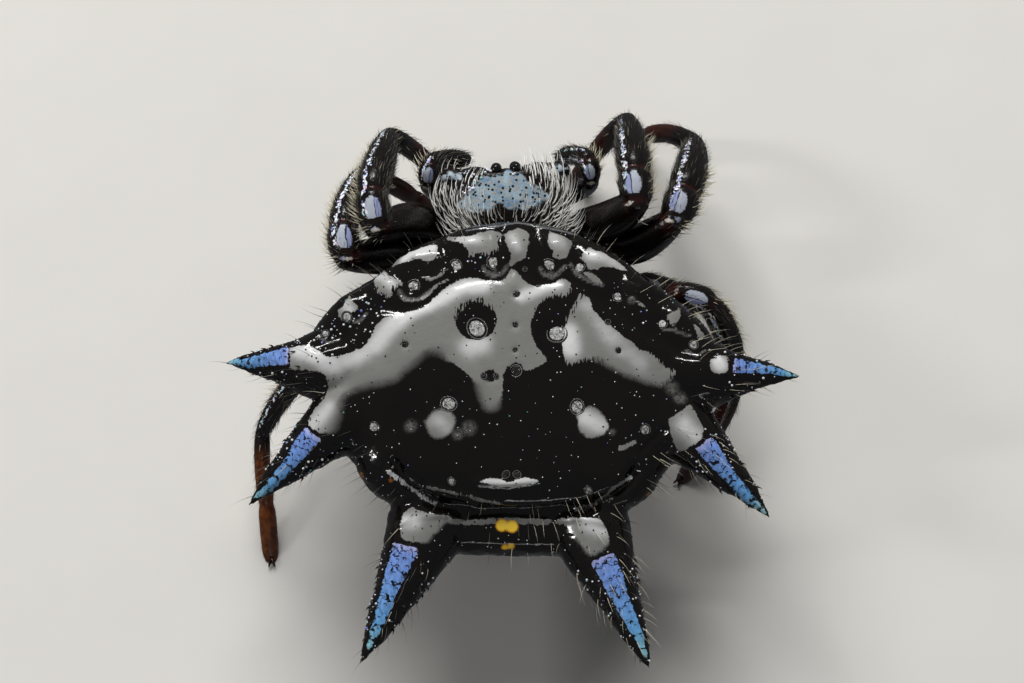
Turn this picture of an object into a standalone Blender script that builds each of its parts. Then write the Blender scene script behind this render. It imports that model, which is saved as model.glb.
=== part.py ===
# Christmas jewel spider, adult female, life size, standing with its front legs drawn up
#
# All sizes are millimetres in the spider's own directions: +X its right side, +Y its head,
# +Z up from the floor. The abdomen's middle is at x = 0, y = 0 until place() moves the
# whole animal so that the middle of its overall length is the origin.

import math

import bmesh
import bpy
import numpy as np
from mathutils import Matrix, Vector
from mathutils.bvhtree import BVHTree

MM = 0.001
MIDDLE_OF_LENGTH_Y = 0.915
GAP = 0.25
HALF_GAP = GAP / 2
WELD = 1e-4

# Abdomen: half outline seen from above, front to back, and the heights of its shell
ABDOMEN_CENTRE_Y = 0.6
ABDOMEN_HALF_OUTLINE = [
    (0.0, 4.60), (1.2, 4.42), (2.28, 3.98), (3.34, 3.20), (4.22, 2.52), (4.92, 1.80),
    (5.10, 0.85), (4.88, -0.30), (4.45, -1.20), (3.90, -1.75), (3.62, -2.28), (3.00, -2.76),
    (1.60, -3.00), (0.0, -3.06),
]
RIM_HEIGHT = 4.50
CUT_BELOW_RIM = 0.72
RIM_SLOPE = 0.05
SHELL_RISE = 1.08
SHELL_ROUNDING = 3.0
BELLY_DEPTH = 3.05
BELLY_HEIGHT_POWER = 1.3
BELLY_FRONT_POWER = 1.4
BELLY_BACK_POWER = 1.6
BELLY_BACKWARD_SHIFT = 0.5
ABDOMEN_SEGMENTS = 60
ABDOMEN_RINGS = 24

# Abdominal spines: axis points (x, y, z) with the radius there, right side of the body
SPINE_FLATNESS = 0.82
SPINE_SIDES_RESOLUTION = 4
FRONT_SPINE = [
    (3.6, 0.70, 4.62, 0.95), (4.8, 0.68, 4.78, 0.90), (5.4, 0.66, 4.86, 0.68),
    (6.0, 0.68, 4.90, 0.44), (6.6, 0.68, 4.92, 0.25), (7.22, 0.64, 4.94, 0.02),
]
MIDDLE_SPINE = [
    (3.3, 0.10, 4.55, 0.95), (4.25, -0.72, 4.66, 0.90), (4.95, -1.38, 4.74, 0.64),
    (5.50, -1.97, 4.78, 0.44), (6.02, -2.52, 4.82, 0.25), (6.51, -3.09, 4.86, 0.02),
]
REAR_SPINE = [
    (1.75, -2.30, 3.95, 1.05), (2.12, -3.45, 4.02, 0.98), (2.52, -4.45, 4.12, 0.72),
    (2.86, -5.25, 4.22, 0.52), (3.22, -6.12, 4.33, 0.32), (3.58, -6.98, 4.42, 0.02),
]
REAR_SHELF_CENTRE = (0.0, -2.92, 3.90)
REAR_SHELF_HALF_SIZE = (2.95, 0.97, 0.60)
REAR_SHELF_SQUARENESS = 2.6

# Sigilla, the round muscle marks of the shell: place from above and radius, right side
SIGILLA = [
    (0.99, 1.44, 0.30), (1.60, -0.54, 0.22), (0.72, 3.10, 0.24), (1.52, 3.02, 0.22),
    (2.58, 2.46, 0.24), (3.74, 1.80, 0.23), (4.36, 1.16, 0.22), (3.42, -1.02, 0.18),
    (1.60, -2.27, 0.15),
]
SIGILLUM_RISE = 0.09
SIGILLUM_DEPTH = 0.30
SIGILLUM_SIDES = 12
SIGILLUM_FOOT = 1.1
SIGILLUM_CROWN = 0.78

# Head and thorax under one carapace, turned a little to the spider's left
PROSOMA_TURN = math.radians(6)
PROSOMA_PIVOT_Y = 3.8
CARAPACE_CENTRE_Y = 4.95
CARAPACE_LENGTH = 3.4
CARAPACE_HALF_WIDTH = 1.60
CARAPACE_BOTTOM = 2.75
CARAPACE_MIDDLE_SHARE = 0.3
CARAPACE_TOP_PROFILE = [
    (-1.0, 2.95), (-0.8, 3.28), (-0.5, 3.58), (-0.15, 3.88), (0.2, 4.14), (0.6, 4.26),
    (0.85, 4.22), (1.0, 4.05),
]
CARAPACE_WIDTH_PROFILE = [
    (-1.0, 0.50), (-0.7, 0.86), (-0.3, 1.0), (0.1, 0.98), (0.5, 0.95), (0.85, 0.95), (1.0, 0.93),
]
CARAPACE_REAR_POWER = 3.0
CARAPACE_FRONT_POWER = 5.5
# Powers below one square a sphere's section off: along the body, across it, above and below
CARAPACE_SQUARING = {"along": 0.8, "across": 0.75, "above": 0.9, "below": 0.5}
EYE_SOCKET_GAP = 0.06
EYE_SINK = 0.35
# Eyes: name, sideways place and height seen from in front, radius, right side
EYES = [
    ("median_rear", 0.26, 4.06, 0.15),
    ("median_front", 0.24, 3.70, 0.14),
    ("lateral_rear", 1.22, 3.80, 0.13),
    ("lateral_front", 1.20, 3.52, 0.12),
]
STERNUM_CENTRE = (0.0, 4.55, 2.20)
STERNUM_HALF_SIZE = (0.74, 1.02, 0.28)
STERNUM_TAPER = 0.28
STERNUM_SQUARING = {"across": 0.8, "upright": 0.7}
PEDICEL = [(0.0, 2.94, 2.62, 0.28), (0.0, 3.07, 2.55, 0.24), (0.0, 3.20, 2.48, 0.28)]
CHELICERA = [
    (0.42, 6.26, 2.50, 0.26), (0.44, 6.44, 2.26, 0.31), (0.45, 6.58, 1.86, 0.32),
    (0.44, 6.64, 1.52, 0.27), (0.42, 6.64, 1.32, 0.20),
]
FANG = [
    (0.50, 6.72, 1.06, 0.13), (0.42, 6.72, 0.94, 0.12), (0.28, 6.70, 0.90, 0.08),
    (0.16, 6.66, 0.96, 0.02),
]

# Limbs: each row is a point on the axis with the limb's radius there. The rows are the root,
# trochanter, middle of the femur, knee, far end of the patella, middle of the tibia, far end
# of the tibia, middle of the metatarsus, far end of the metatarsus, and the foot.
KNEE = 3
TIBIA_END = 6
LEGS = {
    "leg1_left": [
        (-1.00, 5.28, 2.30, 0.24), (-1.62, 5.46, 2.26, 0.30), (-2.62, 5.38, 3.38, 0.43),
        (-3.49, 4.60, 4.46, 0.35), (-3.66, 5.47, 4.42, 0.39), (-3.50, 6.56, 3.82, 0.39),
        (-3.27, 7.62, 2.92, 0.28), (-2.78, 7.68, 2.02, 0.26), (-2.30, 7.60, 1.15, 0.25),
        (-1.74, 7.44, -0.12, 0.22),
    ],
    "leg2_left": [
        (-1.28, 4.74, 2.28, 0.24), (-1.90, 4.76, 2.22, 0.30), (-3.16, 4.30, 2.98, 0.42),
        (-4.26, 3.74, 4.10, 0.35), (-4.36, 4.64, 4.06, 0.38), (-4.18, 5.74, 3.42, 0.37),
        (-3.92, 6.76, 2.54, 0.27), (-3.30, 6.82, 1.72, 0.25), (-2.66, 6.72, 0.98, 0.25),
        (-1.96, 6.54, -0.12, 0.22),
    ],
    "leg3_left": [
        (-1.28, 4.15, 2.26, 0.24), (-1.88, 3.98, 2.20, 0.29), (-2.58, 3.68, 2.30, 0.36),
        (-3.24, 3.46, 2.50, 0.31), (-3.62, 3.42, 2.22, 0.31), (-3.92, 3.40, 1.74, 0.30),
        (-4.12, 3.38, 1.24, 0.26), (-4.20, 3.38, 0.92, 0.25), (-4.25, 3.38, 0.55, 0.25),
        (-4.30, 3.38, -0.12, 0.22),
    ],
    "leg4_left": [
        (-0.96, 3.58, 2.20, 0.24), (-1.46, 3.10, 2.10, 0.30), (-2.90, 2.34, 2.52, 0.40),
        (-4.46, 1.66, 3.20, 0.35), (-5.16, 1.20, 3.06, 0.35), (-5.86, 0.60, 2.44, 0.33),
        (-6.36, 0.02, 1.66, 0.27), (-6.34, -0.78, 1.18, 0.25), (-6.18, -1.62, 0.72, 0.25),
        (-6.02, -2.80, -0.12, 0.22),
    ],
    "leg1_right": [
        (1.00, 5.28, 2.30, 0.24), (1.62, 5.50, 2.28, 0.30), (2.36, 5.54, 3.48, 0.43),
        (3.02, 5.18, 4.54, 0.35), (2.92, 6.08, 4.48, 0.39), (2.88, 7.18, 3.84, 0.39),
        (2.80, 8.20, 2.92, 0.28), (2.36, 8.12, 2.00, 0.26), (1.92, 7.84, 1.15, 0.25),
        (1.44, 7.56, -0.12, 0.22),
    ],
    "leg2_right": [
        (1.28, 4.74, 2.28, 0.24), (1.90, 4.82, 2.18, 0.30), (3.02, 4.76, 2.86, 0.42),
        (4.06, 4.84, 4.00, 0.35), (4.22, 5.76, 3.98, 0.38), (4.38, 6.80, 3.40, 0.38),
        (4.48, 7.76, 2.58, 0.27), (3.92, 8.28, 1.84, 0.25), (3.32, 8.52, 1.06, 0.25),
        (2.66, 8.60, -0.12, 0.22),
    ],
    "leg3_right": [
        (1.28, 4.15, 2.26, 0.24), (1.88, 4.02, 2.16, 0.29), (2.54, 3.98, 2.14, 0.36),
        (3.18, 4.04, 2.20, 0.31), (3.60, 4.08, 1.96, 0.31), (3.96, 4.10, 1.54, 0.30),
        (4.20, 4.10, 1.12, 0.26), (4.30, 4.10, 0.84, 0.25), (4.36, 4.10, 0.50, 0.25),
        (4.42, 4.10, -0.12, 0.22),
    ],
    "leg4_right": [
        (0.96, 3.58, 2.20, 0.24), (1.48, 3.12, 2.10, 0.30), (2.90, 3.00, 2.74, 0.40),
        (4.18, 3.34, 3.48, 0.35), (4.94, 3.08, 3.38, 0.35), (5.46, 2.32, 2.86, 0.33),
        (5.66, 1.54, 2.16, 0.27), (5.44, 0.92, 1.54, 0.25), (5.04, 0.32, 0.92, 0.25),
        (4.40, -0.42, -0.12, 0.22),
    ],
}
PALPS = {
    "palp_left": [
        (-0.68, 5.84, 2.12, 0.22), (-1.12, 6.10, 2.06, 0.24), (-1.94, 6.42, 2.62, 0.25),
        (-2.14, 6.38, 3.36, 0.23), (-2.06, 6.78, 3.56, 0.27), (-1.80, 7.08, 3.22, 0.26),
        (-1.48, 7.26, 2.72, 0.24), (-1.26, 7.34, 2.34, 0.20),
    ],
    "palp_right": [
        (0.72, 5.86, 2.12, 0.22), (1.20, 6.10, 2.06, 0.24), (1.70, 6.42, 2.66, 0.25),
        (1.92, 6.36, 3.42, 0.23), (1.82, 6.74, 3.62, 0.27), (1.56, 7.08, 3.26, 0.26),
        (1.30, 7.28, 2.74, 0.24), (1.10, 7.36, 2.34, 0.20),
    ],
}
LIMB_RINGS = 9
LIMB_SIDES_RESOLUTION = 3
BALL_ANGLES = (math.radians(30), math.radians(58), math.radians(80))

SPINNERET_BASE = (0.0, 0.10, 1.16)
SPINNERET_BASE_RADII = (0.86, 0.62)
SPINNERET_BASE_HEIGHT = 0.36
# Spinnerets: sideways and forward place from the base's middle, radius, length, spread
SPINNERETS = [
    (0.24, 0.24, 0.20, 0.42, 0.10), (0.26, -0.26, 0.18, 0.38, 0.10), (0.09, -0.02, 0.09, 0.26, 0.0),
]
SPINNERET_TIP_LENGTH = 0.12

BLACK_CUTICLE = (0.012, 0.010, 0.009)
DARK_BROWN_CUTICLE = (0.030, 0.014, 0.009)
RED_BROWN_CUTICLE = (0.075, 0.026, 0.012)
EYE_BLACK = (0.004, 0.004, 0.005)


def clear_scene():
    for obj in list(bpy.data.objects):
        bpy.data.objects.remove(obj, do_unlink=True)


def cuticle_material(name, colour, roughness):
    material = bpy.data.materials.new(name)
    material.use_nodes = True
    shader = material.node_tree.nodes["Principled BSDF"]
    shader.inputs["Base Color"].default_value = (*colour, 1.0)
    shader.inputs["Roughness"].default_value = roughness
    shader.inputs["Metallic"].default_value = 0.0
    return material


def smooth_points(points, per_span):
    """Points on a Catmull-Rom curve through rows of numbers, per_span to each stretch."""
    rows = np.array(points, float)
    ends = np.vstack([2 * rows[0] - rows[1], rows, 2 * rows[-1] - rows[-2]])
    made = []
    for i in range(len(rows) - 1):
        a, b, c, d = ends[i : i + 4]
        for t in np.linspace(0, 1, per_span, endpoint=False):
            square = (2 * a - 5 * b + 4 * c - d) * t**2
            cube = (3 * b - a - 3 * c + d) * t**3
            made.append(0.5 * (2 * b + (c - a) * t + square + cube))
    made.append(rows[-1])
    return np.array(made)


def joint_rings(rows, rounded_start, rounded_end):
    """Rings along a limb's length, with a half ball of rings past each rounded end."""
    steps = np.linalg.norm(np.diff(rows[:, :3], axis=0), axis=1)
    along = np.concatenate([[0], np.cumsum(steps)])
    wanted = np.linspace(0, along[-1], LIMB_RINGS)
    rings = np.stack([np.interp(wanted, along, rows[:, k]) for k in range(4)], axis=1)
    if rounded_start:
        rings = np.vstack([half_ball(rings[0], rings[0] - rings[1])[::-1], rings])
    if rounded_end:
        rings = np.vstack([rings, half_ball(rings[-1], rings[-1] - rings[-2])])
    return rings


def half_ball(ring, direction):
    """Rings that close a tube's end with a half ball, outward from its last ring."""
    outward = direction[:3] / np.linalg.norm(direction[:3])
    return np.array([
        [*(ring[:3] + outward * ring[3] * math.sin(angle)), ring[3] * math.cos(angle)]
        for angle in BALL_ANGLES
    ])


def place(x, y, z):
    return Vector((x, y - MIDDLE_OF_LENGTH_Y, z)) * MM


def mirrored(rows):
    return [(-row[0], *row[1:]) for row in rows]


def node_from(bm, name, material, sharp_angle=40):
    """A named object from a bmesh in millimetres, moved to the model's origin and scale."""
    bm.normal_update()
    mesh = bpy.data.meshes.new(name)
    bm.to_mesh(mesh)
    bm.free()
    for vertex in mesh.vertices:
        vertex.co = place(*vertex.co)
    mesh.materials.append(material)
    mesh.shade_smooth()
    mesh.set_sharp_from_angle(angle=math.radians(sharp_angle))
    obj = bpy.data.objects.new(name, mesh)
    parts.objects.link(obj)
    return obj


def tube(rings, resolution):
    """A closed tube as a bmesh in millimetres, from rows of x, y, z and radius."""
    curve = bpy.data.curves.new("axis", "CURVE")
    curve.dimensions = "3D"
    curve.bevel_depth = 1.0
    curve.bevel_resolution = resolution
    curve.use_fill_caps = True
    spline = curve.splines.new("POLY")
    spline.points.add(len(rings) - 1)
    for point, (x, y, z, radius) in zip(spline.points, rings):
        point.co = (x, y, z, 1.0)
        point.radius = radius
    helper = bpy.data.objects.new("axis", curve)
    bpy.context.scene.collection.objects.link(helper)
    graph = bpy.context.evaluated_depsgraph_get()
    mesh = bpy.data.meshes.new_from_object(helper.evaluated_get(graph))
    bpy.data.objects.remove(helper, do_unlink=True)
    bm = bmesh.new()
    bm.from_mesh(mesh)
    bmesh.ops.remove_doubles(bm, verts=bm.verts, dist=WELD)
    bmesh.ops.recalc_face_normals(bm, faces=bm.faces)
    return bm


def ball(segments, rings, shape):
    """A unit sphere as a bmesh, each vertex moved by shape(x, y, z)."""
    bm = bmesh.new()
    bmesh.ops.create_uvsphere(bm, u_segments=segments, v_segments=rings, radius=1.0)
    for vertex in bm.verts:
        vertex.co = shape(*vertex.co)
    bmesh.ops.recalc_face_normals(bm, faces=bm.faces)
    return bm


def signed_power(value, power):
    return math.copysign(abs(value) ** power, value)


def box_like(centre, half_size, squareness, segments=28, rings=14):
    """A rounded block: a sphere squared off by squareness, 2 being an ellipsoid."""
    power = 2 / squareness

    def shape(x, y, z):
        return Vector(
            c + h * signed_power(v, power) for c, h, v in zip(centre, half_size, (x, y, z))
        )

    return ball(segments, rings, shape)


def temporary(bm, name="piece"):
    """A helper object in millimetres for a Boolean modifier."""
    mesh = bpy.data.meshes.new(name)
    bm.to_mesh(mesh)
    bm.free()
    obj = bpy.data.objects.new(name, mesh)
    obj.hide_render = True
    obj.display_type = "WIRE"
    cutters.objects.link(obj)
    return obj


def combine(base, others, operation):
    """The bmesh left when a Boolean modifier joins or cuts base with the other bmeshes."""
    body = temporary(base, "base")
    group = bpy.data.collections.new("operands")
    bpy.context.scene.collection.children.link(group)
    helpers = [temporary(bm) for bm in others]
    for helper in helpers:
        group.objects.link(helper)
    modifier = body.modifiers.new("combine", "BOOLEAN")
    modifier.operation = operation
    modifier.solver = "MANIFOLD"
    modifier.operand_type = "COLLECTION"
    modifier.collection = group
    graph = bpy.context.evaluated_depsgraph_get()
    mesh = bpy.data.meshes.new_from_object(body.evaluated_get(graph))
    for helper in [body, *helpers]:
        bpy.data.objects.remove(helper, do_unlink=True)
    bpy.data.collections.remove(group)
    bm = bmesh.new()
    bm.from_mesh(mesh)
    return largest_surface(bm)


def largest_surface(bm):
    """Keeps only the largest closed surface of a bmesh."""
    bmesh.ops.remove_doubles(bm, verts=bm.verts, dist=WELD)
    bmesh.ops.dissolve_degenerate(bm, edges=bm.edges, dist=WELD)
    unseen = set(bm.verts)
    shells = []
    while unseen:
        shell, front = set(), [unseen.pop()]
        while front:
            vertex = front.pop()
            shell.add(vertex)
            for edge in vertex.link_edges:
                other = edge.other_vert(vertex)
                if other in unseen:
                    unseen.discard(other)
                    front.append(other)
        shells.append(shell)
    keep = max(shells, key=len)
    loose = [v for v in bm.verts if v not in keep]
    bmesh.ops.delete(bm, geom=loose, context="VERTS")
    return bm


def cut_away(bm, point, outward):
    """Cuts off what lies past a plane on its outward side and closes the cut."""
    geometry = bm.verts[:] + bm.edges[:] + bm.faces[:]
    bmesh.ops.bisect_plane(
        bm, geom=geometry, dist=WELD, plane_co=point, plane_no=outward, clear_outer=True
    )
    open_edges = [edge for edge in bm.edges if edge.is_boundary]
    bmesh.ops.holes_fill(bm, edges=open_edges, sides=0)
    bmesh.ops.recalc_face_normals(bm, faces=bm.faces)
    return bm


def outline_table():
    """Angles and radii of the abdomen's outline about its middle, for interpolation."""
    half = ABDOMEN_HALF_OUTLINE
    left = [(-x, y) for x, y in half[-2:0:-1]]
    closed = half + left
    loop = smooth_points(closed[-2:] + closed + closed[:3], 12)
    angles = np.arctan2(loop[:, 1] - ABDOMEN_CENTRE_Y, loop[:, 0])
    radii = np.hypot(loop[:, 0], loop[:, 1] - ABDOMEN_CENTRE_Y)
    order = np.argsort(angles)
    return angles[order], radii[order]


def outline_radius(angle):
    return float(np.interp(angle, OUTLINE_ANGLES, OUTLINE_RADII, period=2 * math.pi))


def rim_height(y):
    return RIM_HEIGHT + RIM_SLOPE * y


def shell_height(x, y):
    """Height of the abdomen's upper shell over a point, away from the spines."""
    angle = math.atan2(y - ABDOMEN_CENTRE_Y, x)
    share = min(0.999, math.hypot(x, y - ABDOMEN_CENTRE_Y) / outline_radius(angle))
    return rim_height(y) + SHELL_RISE * (1 - share**SHELL_ROUNDING) ** (1 / SHELL_ROUNDING)


def abdomen_shape(x, y, z):
    """Moves a point of a unit sphere to the abdomen: a low shell above, a bowl below."""
    angle = math.atan2(y, x)
    out = math.hypot(x, y)
    if z >= 0:
        share = out ** (2 / SHELL_ROUNDING)
        height = SHELL_RISE * z ** (2 / SHELL_ROUNDING)
        shift = 0.0
    else:
        frontness = max(0.0, math.sin(angle)) ** 2
        power = BELLY_BACK_POWER + (BELLY_FRONT_POWER - BELLY_BACK_POWER) * frontness
        share = out ** (2 / power)
        depth = abs(z) ** (2 / BELLY_HEIGHT_POWER)
        height = -BELLY_DEPTH * depth
        shift = -BELLY_BACKWARD_SHIFT * depth
    reach = share * outline_radius(angle)
    px = reach * math.cos(angle)
    py = ABDOMEN_CENTRE_Y + shift + reach * math.sin(angle)
    return Vector((px, py, rim_height(py) + height))


def spine(rows):
    """One hollow-looking thorn of the shell, flatter than it is wide."""
    rings = smooth_points(rows, 3)
    bm = tube(rings, SPINE_SIDES_RESOLUTION)
    axis = np.array(rows)
    for vertex in bm.verts:
        nearest = np.linalg.norm(axis[:, :2] - np.array(vertex.co[:2]), axis=1)
        level = np.average(axis[:, 2], weights=1 / (nearest + 0.05) ** 2)
        vertex.co.z = level + (vertex.co.z - level) * SPINE_FLATNESS
    return bm


def sigillum(x, y, radius):
    """A low round button, square to the shell where it sits."""
    step = 0.05
    top = shell_height(x, y)
    slope_x = (shell_height(x + step, y) - shell_height(x - step, y)) / (2 * step)
    slope_y = (shell_height(x, y + step) - shell_height(x, y - step)) / (2 * step)
    normal = Vector((-slope_x, -slope_y, 1.0)).normalized()
    bm = bmesh.new()
    bmesh.ops.create_cone(
        bm, segments=SIGILLUM_SIDES, radius1=radius * SIGILLUM_FOOT,
        radius2=radius * SIGILLUM_CROWN, depth=SIGILLUM_DEPTH, cap_ends=True,
    )
    turn = Vector((0, 0, 1)).rotation_difference(normal).to_matrix().to_4x4()
    middle = Vector((x, y, top)) + normal * (SIGILLUM_RISE - SIGILLUM_DEPTH / 2)
    bmesh.ops.transform(bm, matrix=Matrix.Translation(middle) @ turn, verts=bm.verts)
    return bm


def whole_abdomen():
    """The abdomen in one piece: shell and bowl, rear shelf, spines and sigilla."""
    whole = ball(ABDOMEN_SEGMENTS, ABDOMEN_RINGS, abdomen_shape)
    added = [box_like(REAR_SHELF_CENTRE, REAR_SHELF_HALF_SIZE, REAR_SHELF_SQUARENESS)]
    for rows in (FRONT_SPINE, MIDDLE_SPINE, REAR_SPINE):
        added.append(spine(rows))
        added.append(spine(mirrored(rows)))
    for x, y, radius in SIGILLA:
        added.append(sigillum(x, y, radius))
        added.append(sigillum(-x, y, radius))
    return combine(whole, added, "UNION")


def carapace_shape(x, y, z):
    """Moves a point of a unit sphere with its poles on Y to the carapace."""
    squaring = CARAPACE_SQUARING
    along = signed_power(y, squaring["along"])
    around = math.hypot(x, z)
    power = CARAPACE_FRONT_POWER if along > 0 else CARAPACE_REAR_POWER
    closing = max(0.0, 1 - abs(along) ** power) ** (1 / power)
    side, up = (x / around, z / around) if around > 1e-6 else (0.0, 0.0)
    top = interpolated(CARAPACE_TOP_PROFILE, along)
    half_width = CARAPACE_HALF_WIDTH * interpolated(CARAPACE_WIDTH_PROFILE, along) * closing
    middle = CARAPACE_BOTTOM + (top - CARAPACE_BOTTOM) * CARAPACE_MIDDLE_SHARE
    if up > 0:
        rise = (top - middle) * up ** squaring["above"]
    else:
        rise = (CARAPACE_BOTTOM - middle) * abs(up) ** squaring["below"]
    px = half_width * signed_power(side, squaring["across"])
    return Vector((px, CARAPACE_CENTRE_Y + along * CARAPACE_LENGTH / 2, middle + rise * closing))


def interpolated(table, at):
    stations, values = zip(*table)
    return float(np.interp(at, stations, values))


PROSOMA_MATRIX = (
    Matrix.Translation((0.0, PROSOMA_PIVOT_Y, 0.0))
    @ Matrix.Rotation(PROSOMA_TURN, 4, "Z")
    @ Matrix.Translation((0.0, -PROSOMA_PIVOT_Y, 0.0))
)


def turned(bm):
    """Turns a piece of the head about the waist, as the spider holds it."""
    bmesh.ops.transform(bm, matrix=PROSOMA_MATRIX, verts=bm.verts)
    return bm


def eye_ball(centre, radius, segments=12, rings=6):
    return ball(segments, rings, lambda x, y, z: centre + Vector((x, y, z)) * radius)


def eye_places(carapace):
    """Each eye's name, centre and radius, sunk a little into the head's front."""
    surface = BVHTree.FromBMesh(carapace)
    in_front = CARAPACE_CENTRE_Y + CARAPACE_LENGTH
    places = []
    for name, x, z, radius in EYES:
        for side, sign in (("left", -1), ("right", 1)):
            hit = surface.ray_cast(Vector((sign * x, in_front, z)), Vector((0, -1, 0)))
            places.append((f"eye_{name}_{side}", hit[0] - hit[1] * radius * EYE_SINK, radius))
    return places


def sternum_shape(x, y, z):
    """A shield-shaped plate, wider in front, with the lip at its front end."""
    narrowing = 1 + STERNUM_TAPER * y
    cx, cy, cz = STERNUM_CENTRE
    hx, hy, hz = STERNUM_HALF_SIZE
    across = hx * signed_power(x, STERNUM_SQUARING["across"]) * narrowing
    return Vector((cx + across, cy + hy * y, cz + hz * signed_power(z, STERNUM_SQUARING["upright"])))


def head_nodes(black, dark, eye_black):
    carapace = ball(32, 20, carapace_shape)
    eyes = eye_places(carapace)
    sockets = [eye_ball(centre, radius + EYE_SOCKET_GAP) for _, centre, radius in eyes]
    node_from(turned(combine(carapace, sockets, "DIFFERENCE")), "carapace", black)
    for name, centre, radius in eyes:
        node_from(turned(eye_ball(centre, radius)), name, eye_black)
    node_from(turned(ball(24, 12, sternum_shape)), "sternum", dark)
    for side, turn_over in (("left", mirrored), ("right", list)):
        chelicera = tube(smooth_points(turn_over(CHELICERA), 3), LIMB_SIDES_RESOLUTION)
        node_from(turned(chelicera), f"chelicera_{side}", dark)
        fang = tube(smooth_points(turn_over(FANG), 3), 2)
        node_from(turned(fang), f"fang_{side}", dark)
    node_from(tube(smooth_points(PEDICEL, 3), LIMB_SIDES_RESOLUTION), "pedicel", dark)


def limb_nodes(name, rows, cuts, names, materials):
    """One limb in lengths, each rounded at its joints and cut on the plane that halves the bend."""
    rooted = [(*(PROSOMA_MATRIX @ Vector(row[:3])), row[3]) for row in rows[:2]]
    rows = rooted + rows[2:]
    ends = [0, *cuts, len(rows) - 1]
    lengths = [smooth_points(rows[a : b + 1], 6)[:, :4] for a, b in zip(ends, ends[1:])]
    last = len(lengths) - 1
    for i, (part, length) in enumerate(zip(names, lengths)):
        bm = tube(joint_rings(length, i > 0, i < last), LIMB_SIDES_RESOLUTION)
        if i > 0:
            joint, normal = bend_plane(lengths[i - 1], length)
            cut_away(bm, joint + normal * HALF_GAP, -normal)
        if i < last:
            joint, normal = bend_plane(length, lengths[i + 1])
            cut_away(bm, joint - normal * HALF_GAP, normal)
        if part == "foot":
            cut_away(bm, Vector((0, 0, 0)), Vector((0, 0, -1)))
        node_from(bm, f"{name}_{part}", materials[i])


def bend_plane(before, after):
    """The joint's point and the direction across the plane that halves its bend."""
    arriving = Vector(before[-1, :3] - before[-2, :3]).normalized()
    leaving = Vector(after[1, :3] - after[0, :3]).normalized()
    return Vector(after[0, :3]), (arriving + leaving).normalized()


def spinneret_node(material):
    x0, y0, z0 = SPINNERET_BASE
    base = bmesh.new()
    bmesh.ops.create_cone(
        base, segments=24, radius1=SPINNERET_BASE_RADII[1], radius2=SPINNERET_BASE_RADII[0],
        depth=SPINNERET_BASE_HEIGHT, cap_ends=True,
    )
    bmesh.ops.translate(base, verts=base.verts, vec=(x0, y0, z0))
    cones = []
    for x, y, radius, length, spread in SPINNERETS:
        for sign in (-1, 1):
            rows = [
                (x0 + sign * x, y0 + y, z0, radius),
                (x0 + sign * (x + spread / 2), y0 + y, z0 - length, radius * 0.85),
                (x0 + sign * x, y0 + y * 0.8, z0 - length - SPINNERET_TIP_LENGTH, radius * 0.4),
            ]
            cones.append(tube(rows, 2))
    node_from(combine(base, cones, "UNION"), "spinnerets", material)


def abdomen_halves(black, belly_material):
    """Parts the abdomen by a thin tilted cut along its rim."""
    outward = Vector((0.0, -RIM_SLOPE, 1.0)).normalized()
    whole = whole_abdomen()
    belly = whole.copy()
    cut = Vector((0.0, 0.0, RIM_HEIGHT - CUT_BELOW_RIM))
    cut_away(whole, cut, -outward)
    node_from(whole, "abdomen_shell", black)
    cut_away(belly, cut - outward * GAP, outward)
    node_from(belly, "abdomen_belly", belly_material)


OUTLINE_ANGLES, OUTLINE_RADII = outline_table()
clear_scene()
parts = bpy.data.collections.new("christmas_jewel_spider")
cutters = bpy.data.collections.new("cutters")
for collection in (parts, cutters):
    bpy.context.scene.collection.children.link(collection)

glossy_black = cuticle_material("glossy_black_cuticle", BLACK_CUTICLE, 0.15)
dark_brown = cuticle_material("dark_brown_cuticle", DARK_BROWN_CUTICLE, 0.35)
foot_brown = cuticle_material("red_brown_cuticle", RED_BROWN_CUTICLE, 0.4)
lens_black = cuticle_material("eye_lens", EYE_BLACK, 0.05)

abdomen_halves(glossy_black, dark_brown)
spinneret_node(dark_brown)
head_nodes(glossy_black, dark_brown, lens_black)
for leg, leg_rows in LEGS.items():
    limb_nodes(
        leg, leg_rows, (KNEE, TIBIA_END), ("femur", "tibia", "foot"), (glossy_black, glossy_black, foot_brown)
    )
for palp, palp_rows in PALPS.items():
    limb_nodes(palp, palp_rows, (KNEE,), ("femur", "tip"), (glossy_black, glossy_black))
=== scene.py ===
# %% [markdown]
# # A christmas jewel spider, dressed
#
# The animal is 16 mm long: a hard glossy shell with six thorns, a small furred head and eight
# bristly legs. The solids that carry it are already made and are loaded here as a fixed frame.
# This lesson puts the surface on them, piece by piece: skins, markings, muscle marks, bristles.

# %% Load the frame
import math

import bmesh
import bpy
import numpy as np
from mathutils import Matrix, Vector, noise
from mathutils.bvhtree import BVHTree
from mathutils.kdtree import KDTree


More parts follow.
